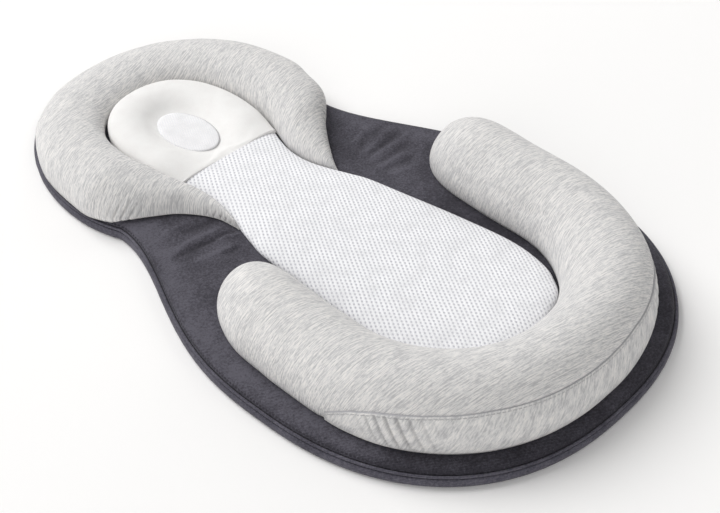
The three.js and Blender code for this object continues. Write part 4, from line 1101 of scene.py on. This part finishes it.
def panel_outline_points(shares, clearance):
    along, width = np.asarray(shares, float).T
    return np.column_stack([width * PANEL_HALF_WIDTH + clearance, mix(PANEL_START_Y, PANEL_END_Y, along)])


def both_arms(left, right):
    """Values from the left tip to the right tip, where both tables run from the head to the tips."""
    return np.concatenate([np.asarray(left, float)[:0:-1], right])


def head_edges():
    """Control points of the inner edge, the outer edge, the height and the section of the head bolster."""
    turns = np.array(HEAD_TURN_SHARES) * math.pi / 2
    neck = panel_outline_points(PANEL_OUTLINE_SHARES[1:1 + PANEL_NECK_POINTS], TUCK_GAP)
    side = well_side_points(HEAD_SIDE_SHARES, TUCK_GAP)
    plain = np.vstack([well_points(turns, TUCK_GAP), side, neck, HEAD_OUTER_RIGHT[-1]])
    inner, outer = [], []
    for way, insets, arm, shifts in (
        (-1, HEAD_INSETS_LEFT, HEAD_OUTER_LEFT, HEAD_INNER_SHIFTS_LEFT),
        (1, HEAD_INSETS_RIGHT, HEAD_OUTER_RIGHT, HEAD_INNER_SHIFTS_RIGHT),
    ):
        x = way * (HEAD_HALF_WIDTH - np.array(insets)) * np.sin(turns)
        y = HEAD_WIDEST_Y + (HEAD_LENGTH - np.array(insets)) * np.cos(turns)
        outer.append(np.vstack([np.column_stack([x, y]), arm]))
        edge = (plain + np.column_stack([shifts, np.zeros(len(plain))])) * [way, 1]
        edge[-1] = arm[-1]
        inner.append(edge)
    height = both_arms(HEAD_HEIGHTS_LEFT, HEAD_HEIGHTS_RIGHT)
    return both_arms(*inner), both_arms(*outer), height, HEAD_SQUARENESS, HEAD_CREST_SHARES


def head_stations(shares):
    inner, outer, height, square, crest = (spline(points, shares) for points in head_edges())
    width = np.linalg.norm(outer - inner, axis=1)
    height = np.maximum(height, HEAD_LEAST_HEIGHT)
    return {
        "centre": (inner + outer) / 2,
        "across": (outer - inner) / np.maximum(width, 1e-6)[:, None],
        "half_width": width / 2,
        "height": height,
        "lift": HEAD_LIFT_SHARE * height,
        "squareness": square[:, None],
        "crest": crest,
    }


def seat_on_base(rows, lift):
    """Lets the ring's foot sink over the rolled edge of the base, down to the piping."""
    flat = rows[:, :, :2].reshape(-1, 2)
    inset = np.array([np.hypot(*(rim_line - place).T).min() for place in flat]).reshape(rows.shape[:2])
    cosine = limit(1 - (inset - TOP_SEAM_INSET) / TOP_ROLL)
    rolled = TOP_SEAM_Z + (BASE_HEIGHT - TOP_SEAM_Z) * np.sqrt(1 - cosine ** 2) + SEAT_GAP
    seat = np.maximum(rolled, HEAD_RIM_Z)
    widest = FLOOR_OF_CUSHIONS + lift[:, None]
    z = rows[:, :, 2]
    sunk = widest - (widest - z) * (widest - seat) / np.maximum(widest - FLOOR_OF_CUSHIONS, SMALLEST_LIFT)
    rows[:, :, 2] = np.where(z < widest, sunk, z)


def head_rows(count, inset, section_points):
    """Rows of the head bolster and the place of each point in its flat cloth."""
    stations = head_stations(np.linspace(0, 1, count + 2)[1:-1])
    squareness = (stations["squareness"], HEAD_INNER_SQUARENESS)
    rows, grain = dome_rows(stations, inset, section_points, squareness)
    seat_on_base(rows, stations["lift"])
    return rows, turned(grain, HEAD_FLECK_TURN)


def swollen(name, rows, pinned, cap):
    """How far each point of closed rows moves when the body swells like a stuffed cover, at most cap."""
    count = rows.shape[0] * rows.shape[1]
    piece = tube_piece(name, rows, np.zeros_like(rows))
    group = piece.vertex_groups.new(name="pinned")
    group.add([int(i) for i in pinned] + [count, count + 1], 1.0, "REPLACE")
    cloth = piece.modifiers.new("swell", "CLOTH")
    cloth.settings.use_pressure = True
    cloth.settings.uniform_pressure_force = SIM_PRESSURE
    cloth.settings.effector_weights.gravity = 0
    cloth.settings.vertex_group_mass = "pinned"
    cloth.point_cache.frame_end = SIM_FRAMES
    for step in range(1, SIM_FRAMES + 1):
        bpy.context.scene.frame_set(step)
    graph = bpy.context.evaluated_depsgraph_get()
    result = piece.evaluated_get(graph).to_mesh()
    moved = places_of(result)[:count] / MM - rows.reshape(-1, 3)
    bpy.data.objects.remove(piece)
    bpy.context.scene.frame_set(1)
    moved *= np.minimum(1, cap / np.maximum(np.linalg.norm(moved, axis=1, keepdims=True), 1e-9))
    return moved.reshape(rows.shape)


def stuffed_rows(name, rows_at, count, sim_count, cap):
    """Fine rows of a bolster that carry the swelling of a coarser simulated one."""
    rows, grain = rows_at(count, 0, SECTION_POINTS)
    coarse, _ = rows_at(sim_count, SIM_INSET, SIM_SECTION_POINTS)
    plain, _ = rows_at(sim_count, 0, SIM_SECTION_POINTS)
    sim_dome, columns = SIM_SECTION_POINTS[0], coarse.shape[1]
    pinned_columns = np.array([0, *range(sim_dome - 1, columns)])
    pinned = (np.arange(sim_count)[:, None] * columns + pinned_columns).ravel()
    change = (coarse + swollen(name, coarse, pinned, cap) - plain)[:, :sim_dome]
    rows[:, :DOME_POINTS] += bend_grid(change, count, DOME_POINTS)
    return rows, grain


def add_ripple(rows, normals, name, even_height):
    """Makes a cushion uneven above a height over the base."""
    above = rows[:, :, 2] > FLOOR_OF_CUSHIONS + even_height
    rows += normals * (ripple(rows, name) * above)[:, :, None]


def mark_painted_fold_shade(piece, values):
    """Stores how deep each point lies in a fold, for the painted shade that its material puts there."""
    depths = np.zeros(len(piece.data.vertices))
    depths[:values.size] = values.ravel()
    store(piece.data, "fold", depths)


def leg_bolster():
    """Stuffed U-shaped cushion with the groove of the side panel's seam."""
    rows, grain = stuffed_rows("leg_sim", leg_rows, LEG_STATIONS, LEG_SIM_STATIONS, LEG_SIM_CAP)
    places = leg_places(LEG_STATIONS)
    normals = grid_normals(rows)
    dome = rows[:, :DOME_POINTS]
    share = np.linspace(0, 1, DOME_POINTS)[None, :]
    seam = seam_shares(places)[:, None]
    perimeter = np.linalg.norm(np.diff(dome, axis=1), axis=2).sum(axis=1)[:, None]
    off = (share - seam) * perimeter
    groove = SEAM_GROOVE * hump(off, SEAM_GROOVE_WIDTH) + GUSSET_RECESS * ease(-off / GUSSET_RECESS_EDGE)
    dents = groove * ease(seam / SEAM_FADE_SHARE)
    from_end = leg_length - places
    for start, end, share_start, share_end, deep, half_width in ARM_FOLDS:
        along = (from_end - start) / (end - start)
        wander = ARM_FOLD_WANDER * np.sin(from_end / ARM_FOLD_WANDER_PITCH)
        fold = (share - (mix(share_start, share_end, along) + wander)[:, None]) * perimeter
        dents += deep * fade(along, ARM_FOLD_END, ARM_FOLD_END)[:, None] * hump(fold, half_width)
    dome -= normals[:, :DOME_POINTS] * dents[:, :, None]
    add_ripple(rows, normals, "leg", LEG_EVEN_HEIGHT)
    rows[:, :, 2] = np.maximum(rows[:, :, 2], FLOOR_OF_CUSHIONS)
    ends = with_z(leg_line[[0, -1]] + [lean(leg_line[0, 1]), 0], FLOOR_OF_CUSHIONS + LEG_END_RISE)
    ends[0, :2] += LEFT_END_SHIFT
    return tube_piece("leg_bolster", rows, grain, ends), rows, places


def leg_gusset(cushion_rows, cushion_places):
    """Side panel sewn on below the seam: a thin sheet over the cushion."""
    from_foot = np.linspace(-GUSSET_HALF_LENGTH, GUSSET_HALF_LENGTH, GUSSET_STATIONS)[:, None]
    places = from_foot[:, 0] + leg_length / 2
    seam = seam_shares(places)[:, None]
    down = 1 - (1 - np.linspace(0, 1, GUSSET_ROWS)[None, :]) ** GUSSET_ROW_EASING
    columns = mix(GUSSET_START_SHARE, 1, down) * (seam - GUSSET_START_SHARE) * (DOME_POINTS - 1)
    stations = np.interp(places, cushion_places, np.arange(len(cushion_places)))

    def sample(grid):
        i = np.minimum(stations.astype(int), len(grid) - 2)[:, None]
        j = np.minimum(columns.astype(int), DOME_POINTS - 2)
        u = (stations - i[:, 0])[:, None, None]
        v = (columns - j)[:, :, None]
        return mix(mix(grid[i, j], grid[i + 1, j], u), mix(grid[i, j + 1], grid[i + 1, j + 1], u), v)

    surface = sample(cushion_rows[:, :DOME_POINTS])
    outward = sample(grid_normals(cushion_rows)[:, :DOME_POINTS])
    folds = np.zeros((len(places), GUSSET_ROWS))
    swell = np.zeros((len(places), 1))
    for middle, spread, pitch, slant, depth in GUSSET_CREASES:
        across = from_foot - slant * (1 - down)
        wander = CREASE_WANDER * np.sin(across / CREASE_WANDER_PITCH)
        wave = (0.5 + 0.5 * np.sin(2 * math.pi * across / pitch + wander)) ** 3
        folds += depth * hump(across - middle, spread) * wave * fade(down, *CREASE_ENDS)
        swell += CREASE_SWELL_SHARE * depth * hump(from_foot - middle, spread)
    edge = np.ones(GUSSET_ROWS)
    edge[-2:] = GUSSET_EDGE_SHARES
    foot = GUSSET_FOOT_SWELL * (1 - down) * ease(seam / GUSSET_FOOT_SWELL_SHARE)
    outer = surface + outward * ((GUSSET_PROUD + swell) * edge + foot - folds)[:, :, None]
    inner = outer - outward * GUSSET_THICKNESS
    rows = np.concatenate([outer, inner[:, ::-1]], axis=1)
    rows[:, :, 2] = np.maximum(rows[:, :, 2], FLOOR_OF_CUSHIONS)
    tall = np.linalg.norm(np.diff(surface, axis=1), axis=2).sum(axis=1)[:, None]
    grain = np.zeros_like(rows)
    grain[:, :, 0] = places[:, None]
    grain[:, :, 1] = (1 - np.concatenate([down, down[:, ::-1]], axis=1)) * tall
    piece = tube_piece("leg_gusset", rows, grain)
    # Painted shade in the creases
    mark_painted_fold_shade(piece, np.concatenate([folds / GUSSET_CREASES[0][-1], np.zeros_like(folds)], axis=1))
    return piece


def head_bolster():
    """Stuffed horseshoe-shaped cushion, with small gathers along the lower edge of its arms."""
    rows, grain = stuffed_rows("head_sim", head_rows, HEAD_STATIONS, HEAD_SIM_STATIONS, HEAD_SIM_CAP)
    normals = grid_normals(rows)
    along = distances(head_stations(np.linspace(0, 1, HEAD_STATIONS + 2)[1:-1])["centre"])
    columns = np.arange(rows.shape[1])
    section = hump(columns / DOME_POINTS - GATHER_SHARE, GATHER_SPREAD_SHARE) * (columns < DOME_POINTS)
    centres = GATHERS_LEFT + tuple(along[-1] - place for place in GATHERS_RIGHT)
    wander = ripple(np.column_stack([along, np.zeros(len(along))]), "gathers")
    wave = (0.5 + 0.5 * np.sin(2 * math.pi * along / GATHER_PITCH + wander)) ** 3
    folds = (wave * sum(hump(along - centre, GATHER_SPREAD) for centre in centres))[:, None] * section
    rows -= normals * (GATHER_DEPTH * folds)[:, :, None]
    add_ripple(rows, normals, "ring", RING_EVEN_HEIGHT)
    ends = with_z(np.array([HEAD_OUTER_LEFT[-1], HEAD_OUTER_RIGHT[-1]]), FLOOR_OF_CUSHIONS + RING_END_RISE)
    piece = tube_piece("head_bolster", rows, grain, ends)
    # Painted shade in the gathers
    mark_painted_fold_shade(piece, folds)
    return piece


# Pillow and panel

def slanted(rows):
    """Turns the seam between pillow and panel a little, as it was sewn."""
    share = (rows[..., 1] - SLANT_Y[0]) / (SLANT_Y[1] - SLANT_Y[0])
    rows[..., 1] -= SLANT * rows[..., 0] * fade(share, SLANT_END_SHARE, SLANT_END_SHARE)
    return rows


def flat_cloth(rows):
    """Places in the cloth that are the places seen from above."""
    return rows * [1, 1, 0]


def pillow_outline():
    """Outline of the pillow, from its head end down the left side, along the seam and up the right side."""
    head = well_points(np.linspace(0, math.pi / 2, OUTLINE_SAMPLES), 0)
    side = well_side_points(np.linspace(0, 1, OUTLINE_SAMPLES)[1:], 0)
    seam_x = np.linspace(SEAM_HALF_WIDTH, 0, SEAM_SAMPLES)[1:]
    seam = np.column_stack([seam_x, np.full(len(seam_x), SEAM_Y)])
    half = resample(np.vstack([head, side, seam]), PILLOW_STATIONS // 2 + 1)
    x, y = half.T
    shift = PILLOW_LEFT_SHIFT * ease(x / PILLOW_LEFT_START) * ease((PILLOW_LEFT_Y - y) / PILLOW_LEFT_LENGTH)
    return np.vstack([np.column_stack([-x - shift, y]), half[-2:0:-1]])


pillow_loop = pillow_outline()


def oval(scale):
    """Points on the disc's outline, one in the direction of each point of the pillow's outline."""
    angle = np.arctan2(pillow_loop[:, 1] - DISC_Y, pillow_loop[:, 0])
    flat = np.column_stack([DISC_HALF_WIDTH * np.cos(angle), DISC_HALF_LENGTH * np.sin(angle)])
    return flat * scale + [0, DISC_Y]


def pillow_tail():
    """Directions from the middle of the dish and how far the pillow would reach if it weren't sewn off."""
    loop = pillow_loop[pillow_loop[:, 1] > SEAM_Y + SEAM_MARGIN]
    tail = np.array(PILLOW_TAIL)
    loop = np.vstack([loop, tail, tail * [-1, 1]]) - [0, DISC_Y]
    angle = np.arctan2(loop[:, 1], loop[:, 0])
    order = np.argsort(angle)
    return angle[order], np.hypot(*loop[order].T)


def pillow_field(flat, profile):
    """Height of the soft pillow at flat places, as a share of its full height."""
    away = flat - [0, DISC_Y]
    angle = np.arctan2(away[:, 1], away[:, 0])
    outer = np.interp(angle, *pillow_tail(), period=2 * math.pi)
    inner = 1 / np.hypot(np.cos(angle) / DISC_HALF_WIDTH, np.sin(angle) / DISC_HALF_LENGTH)
    spread = (np.hypot(*away.T) - inner) / (outer - inner)
    order = np.argsort(profile[:, 0])
    return np.interp(spread, profile[order, 0], profile[order, 1])


def pillow_rows(row_count, inset):
    """Loops of the pillow from its foot over the ring to the middle of the dish."""
    profile = spline(PILLOW_PROFILE_SHARES, np.linspace(0, 1, row_count))
    loops = []
    for spread, height in profile:
        flat = mix(oval(1), inset_loop(pillow_loop, inset), spread)
        flat[:, 1] = np.maximum(flat[:, 1], SEAM_Y + SEAM_CLEARANCE)
        from_seam = flat[:, 1] - SEAM_Y
        near_seam = ease(1 - from_seam / PILLOW_SLOPE_LENGTH)
        field = pillow_field(flat, profile) * mix(1, PILLOW_SEAM_HEIGHT_SHARE, near_seam)
        slope = np.minimum(field, height * PILLOW_SLOPE_SHARE)
        share = np.where(from_seam < PILLOW_SLOPE_LENGTH, slope, height)
        if spread > PILLOW_EDGE_SHARE:
            share = np.minimum(share, height)
        loops.append(with_z(flat, FLOOR_OF_CUSHIONS + np.maximum(share, 0) * (PILLOW_HEIGHT - inset)))
    dish = FLOOR_OF_CUSHIONS + profile[-1][1] * PILLOW_HEIGHT
    return np.array(loops + [with_z(oval(scale), dish - DISH_GAP) for scale in DISH_SCALES])


def head_pillow():
    """Stuffed pillow with a dish, held down round the disc."""
    rows = pillow_rows(PILLOW_ROWS, 0)
    top = PILLOW_ROWS
    coarse, plain = (pillow_rows(PILLOW_ROWS // 2, inset) for inset in (SIM_INSET / 2, 0))
    columns = coarse.shape[1]
    first, last = PILLOW_PINNED_ROWS
    held = np.array([*range(first), *range(len(coarse) - last, len(coarse))])
    pinned = (held[:, None] * columns + np.arange(columns)).ravel()
    moved = swollen("pillow_sim", coarse, pinned, PILLOW_SIM_CAP)
    change = (coarse + moved - plain)[:PILLOW_ROWS // 2]
    rows[:top] += bend_grid(np.concatenate([change, change[:, :1]], axis=1), top, columns + 1)[:, :-1]
    index = np.arange(len(rows))
    middle = ease(index / PILLOW_FLAT_ROWS - 1) * (index < top - 2)
    rows[:, :, 2] += ripple(rows, "pillow") * middle[:, None]
    rows[:, :, 2] = np.maximum(rows[:, :, 2], FLOOR_OF_CUSHIONS)
    grain = flat_cloth(rows)
    ends = [[0, DISC_Y, FLOOR_OF_CUSHIONS], [0, DISC_Y, rows[-1, 0, 2]]]
    return tube_piece("head_pillow", slanted(rows), grain, ends)


def pillow_disc():
    """Crowned oval insert, sunk at its sewn edge."""
    dish = FLOOR_OF_CUSHIONS + PILLOW_PROFILE_SHARES[-1][1] * PILLOW_HEIGHT
    foot, edge, shrink = DISC_SCALES
    rows = [with_z(oval(foot), dish - DISC_THICKNESS / 2)]
    for share in np.linspace(0, 1, DISC_RINGS):
        inward = min(share * DISC_HALF_WIDTH / DISC_CROWN_LENGTH, 1)
        rise = DISC_CROWN * math.sin(inward * math.pi / 2)
        rows.append(with_z(oval(edge - shrink * share), dish - DISC_SINK + rise))
    rows = np.array(rows)
    rows[2:, :, 2] += ripple(rows, "disc")[2:]
    ends = [[0, DISC_Y, dish - DISC_THICKNESS / 2], [0, DISC_Y, rows[-1, 0, 2]]]
    return tube_piece("pillow_disc", rows, flat_cloth(rows), ends)


def panel_stations(shares):
    x, y = spline(panel_outline_points(PANEL_OUTLINE_SHARES, 0), shares).T
    rise = ease((PANEL_START_Y - y) / PANEL_RISE_LENGTH)
    fall = limit((y - PANEL_END_Y) / PANEL_FALL_LENGTH)
    height = mix(PANEL_SEAM_HEIGHT, PANEL_HEIGHT, rise) * np.sqrt(1 - (1 - fall) ** 2)
    more = np.interp(y, PANEL_LEFT_PLACES, PANEL_LEFT_SIZES) * limit(x / PANEL_LEFT_FADE)
    return {
        "centre": np.column_stack([-more / 2, y]),
        "across": np.tile([1.0, 0.0], (len(shares), 1)),
        "half_width": np.maximum(x + more / 2, PANEL_LEAST_SIZES[0]),
        "height": np.maximum(height, PANEL_LEAST_SIZES[1]),
        "lift": np.zeros(len(shares)),
    }


def body_panel():
    """Mesh-covered strip of thin foam."""
    t = np.linspace(0, 1, PANEL_STATIONS + 1)[:-1]
    stations = panel_stations(mix(t, np.sin(t * math.pi / 2), PANEL_EASING))
    rows, grain = dome_rows(stations, 0, PANEL_SECTION_POINTS, (PANEL_SQUARENESS, PANEL_SQUARENESS))
    rows[:, :, 2] += ripple(rows, "panel") * limit((rows[:, :, 2] - FLOOR_OF_CUSHIONS) / PANEL_EVEN_HEIGHT)
    places = zip((PANEL_START_Y, PANEL_END_Y), PANEL_END_RISES)
    ends = [[0, y, FLOOR_OF_CUSHIONS + rise] for y, rise in places]
    return tube_piece("body_panel", slanted(rows), grain, ends)


# Underside and zip

def lining_half_widths(y):
    right = inset_loop(base_loop, LINING_INSET)[:BASE_STATIONS // 2 + 1]
    return np.interp(y, right[:, 1], right[:, 0])


def quilting(x, y):
    """Height of the quilted bottom over the floor: it rests on the middle of each diamond."""
    lines = [np.sin((x + way * y) / QUILT_PITCH * math.pi) for way in (1, -1)]
    return QUILT_DEPTH * np.maximum(*(hump(line, QUILT_GROOVE_SHARE) for line in lines))


def hemmed(start, side, hem, far):
    """Places from a folded edge, over the hem and on to far places, with the heights below and above."""
    turn = np.linspace(0, math.pi / 2, HEM_STEPS)
    nose = HEM_TOP / 2
    near = start + side * np.concatenate([nose * (1 - np.cos(turn)), hem])
    lower = np.concatenate([nose * (1 - np.sin(turn)), np.zeros(len(hem) + len(far))])
    heights = [HEM_TOP] * len(hem) + [QUILTED_THICKNESS] * len(far)
    return np.concatenate([near, far]), lower, np.concatenate([nose * (1 + np.sin(turn)), heights])


def underside_panel(name, side):
    """Quilted bottom on one side of the zip, with its edge folded in along the zip."""
    edge = ZIP_Y + side * SLOT_HALF_WIDTH
    end = (side * inset_loop(base_loop, LINING_INSET)[:, 1]).max() * side - side * LINING_END_GAP
    t = np.linspace(0, 1, UNDERSIDE_ROWS)
    far = mix(edge + side * HEM_WIDTH, end, mix(t, np.sin(t * math.pi / 2), UNDERSIDE_EASING))
    places, lower, upper = hemmed(edge, side, [HEM_FLAT, HEM_WIDTH - HEM_SLOPE, HEM_WIDTH - HEM_STEP], far)
    half = lining_half_widths(places)[:, None]
    x = half * np.linspace(-1, 1, UNDERSIDE_COLUMNS)
    y, lower, upper = (np.broadcast_to(values[:, None], x.shape) for values in (places, lower, upper))
    from_edge = np.abs(y - edge)
    quilt = quilting(x, y) * limit((from_edge - HEM_WIDTH) / QUILT_FADE)
    quilt *= limit((half - np.abs(x)) / QUILT_FADE)
    stitch = HEM_STITCH_DEPTH * sum(hump(from_edge - place, HEM_STITCH_WIDTH) for place in HEM_STITCHES)
    below = np.stack([x, y, lower + quilt + stitch * (lower < NEARLY_FLAT)], axis=2)
    above = np.stack([x, y, upper], axis=2)
    rows = np.concatenate([below, above[:, ::-1]], axis=1)
    return tube_piece(name, rows, flat_cloth(rows))


def underside_tab(name, side):
    """Patch past one end of the zip."""
    outer = lining_half_widths(ZIP_Y) - HEM_STEP
    far = np.linspace(SLOT_HALF_LENGTH + HEM_WIDTH, outer, TAB_ROWS)
    places, lower, upper = hemmed(SLOT_HALF_LENGTH, 1, [HEM_FLAT, HEM_WIDTH - HEM_STEP], far)
    share = np.linspace(-1, 1, TAB_COLUMNS)
    columns = (side * places, lower, upper)
    x, lower, upper = (np.repeat(values[:, None], TAB_COLUMNS, axis=1) for values in columns)
    y = np.broadcast_to(ZIP_Y + (SLOT_HALF_WIDTH - SEAT_GAP) * share, x.shape)
    crown = TAB_CROWN * share ** 4
    below, above = (np.stack([x, y, z], axis=2) for z in (lower + crown, upper - crown))
    rows = np.concatenate([below, above[:, ::-1]], axis=1)
    return tube_piece(name, rows, flat_cloth(rows))


def zip_tape(name, side):
    """Woven tape with rounded edges."""
    half = TAPE_THICKNESS / 2
    turn = np.linspace(-math.pi / 2, math.pi / 2, HEM_STEPS)
    rounded = half * (1 - np.cos(turn))
    out = np.concatenate([TAPE_INNER + rounded, TAPE_INNER + TAPE_WIDTH - rounded])
    up = np.concatenate([-np.sin(turn), np.sin(turn)]) * half
    section = [ZIP_Y + side * out, TAPE_BOTTOM + half + up]
    x = np.linspace(-TAPE_HALF_LENGTH, TAPE_HALF_LENGTH, TAPE_STATIONS)
    rows = np.array([np.column_stack([np.full(len(up), place), *section]) for place in x])
    return tube_piece(name, rows, flat_cloth(rows))


# Putting together

def dress(piece, material, slot, *nodes):
    """Gives a piece its material and its body, and hides the nodes that it stands for. The slot is not used.
    """
    piece.data.materials.append(material)
    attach(piece, "lounger")
    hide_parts(*nodes)
    return piece


def paint_node(name, material):
    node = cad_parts[name]
    if not node.material_slots:
        node.data.materials.append(material)
    node.material_slots[0].link = "OBJECT"
    node.material_slots[0].material = material


def build_base():
    slate = slate_fabric("slate_fabric", SLATE_STOPS)
    edging = slate_fabric("slate_edging", BAND_STOPS)
    top = dress(base_top(), slate, "slate_fabric", "base_top_panel", "base_wadding_upper",
                "base_wadding_lower_head", "base_wadding_lower_foot")
    band = dress(base_band(), edging, "slate_fabric", "base_edge_band")
    dress(base_piping(), edging, "slate_fabric", "base_edge_piping")
    for name, side in (("underside_head", 1), ("underside_foot", -1)):
        panel = dress(underside_panel(name, side), slate, "slate_fabric", "base_" + name + "_panel")
    for name, side in (("underside_tab_left", -1), ("underside_tab_right", 1)):
        tab = dress(underside_tab(name, side), slate, "slate_fabric", "base_" + name)


def build_cushions():
    heather = heather_jersey()
    cushion, rows, places = leg_bolster()
    dress(cushion, heather, "heather_jersey", "leg_bolster_cover", "leg_bolster_filling")
    gusset = dress(leg_gusset(rows, places), gusset_jersey(), "heather_jersey", "leg_bolster_gusset")
    ring = dress(head_bolster(), heather, "heather_jersey", "head_bolster_cover", "head_bolster_filling")
    pillow = dress(head_pillow(), white_jersey(), "white_jersey", "head_pillow_cover", "head_pillow_foam")
    insert = spacer_mesh("disc_mesh", *DISC_MESH)
    disc = dress(pillow_disc(), insert, "spacer_mesh", "head_pillow_disc")
    net = spacer_mesh("spacer_mesh", *BODY_MESH)
    panel = dress(body_panel(), net, "spacer_mesh", "body_panel_mesh", "body_panel_foam")


def build_zip():
    fabric, plastic, metal = woven_tape(), moulded_plastic(), enamelled_metal()
    for name, side in (("tape_left", -1), ("tape_right", 1)):
        tape = dress(zip_tape(name, side), fabric, "slate_fabric", "zip_" + name)
    for name in ("zip_teeth_left", "zip_teeth_right"):
        paint_node(name, plastic)
    for name in ("zip_bottom_stop", "zip_top_stop_left", "zip_top_stop_right", "zip_slider", "zip_pull"):
        paint_node(name, metal)


def build_floor():
    """Pale floor that takes the object's shadow."""
    half = FLOOR_SIZE_M / 2 / MM
    corners = [(-half, -half, 0), (half, -half, 0), (half, half, 0), (-half, half, 0)]
    floor = make_piece("floor", corners, [(0, 1, 2, 3)])
    paint = new_paint("floor")
    for name, value in (("Base Color", linear(FLOOR_COLOUR)), ("Roughness", 1), ("Specular IOR Level", 0)):
        paint.shader.inputs[name].default_value = value
    floor.data.materials.append(paint.material)


def place_lamp(name, kind, direction, energy, distance=0, **settings):
    """A lamp that shines from a compass direction and height in degrees toward the part."""
    turn, rise = (math.radians(angle) for angle in direction)
    toward = Vector((math.cos(turn) * math.cos(rise), math.sin(turn) * math.cos(rise), math.sin(rise)))
    lamp = bpy.data.lights.new(name, kind)
    lamp.energy = energy
    for setting, value in settings.items():
        setattr(lamp, setting, value)
    lamp_object = bpy.data.objects.new(name, lamp)
    lamp_object.location = toward * distance
    lamp_object.rotation_euler = toward.to_track_quat("Z", "Y").to_euler()
    bpy.context.scene.collection.objects.link(lamp_object)


def build_light():
    """The lamps, and a world that the camera sees as white."""
    world = bpy.data.worlds.new("studio")
    bpy.context.scene.world = world
    paint = Paint(world, "Background")
    paint.shader.inputs["Color"].default_value = (1, 1, 1, 1)
    seen = paint.node("ShaderNodeLightPath", output="Is Camera Ray").between(0.0, 1.0, WORLD_STRENGTH, 1.0)
    paint.tree.links.new(seen.socket, paint.shader.inputs["Strength"])
    place_lamp("key", "AREA", KEY_DIRECTION, KEY_POWER, KEY_DISTANCE_M, shape="DISK", size=KEY_SIZE_M)
    for name, direction, strength, angle in SUNS:
        place_lamp(name, "SUN", direction, strength, angle=math.radians(angle))


def build_camera():
    azimuth, elevation = math.radians(CAMERA_AZIMUTH), math.radians(CAMERA_ELEVATION)
    level = math.cos(elevation)
    back = Vector((math.sin(azimuth) * level, -math.cos(azimuth) * level, math.sin(elevation)))
    data = bpy.data.cameras.new("camera")
    data.sensor_width = CAMERA_SENSOR
    data.lens = CAMERA_LENS
    data.shift_x = CAMERA_SHIFT
    data.clip_end = CAMERA_REACH_M
    camera = bpy.data.objects.new("camera", data)
    camera.location = (Vector(CAMERA_TARGET) + back * CAMERA_DISTANCE) * MM
    camera.rotation_mode = "QUATERNION"
    camera.rotation_quaternion = back.to_track_quat("Z", "Y")
    bpy.context.scene.collection.objects.link(camera)
    bpy.context.scene.camera = camera


def build():
    build_camera()
    build_light()
    build_floor()
    build_base()
    build_cushions()
    build_zip()
    bpy.context.scene.view_settings.view_transform = "Standard"


build()
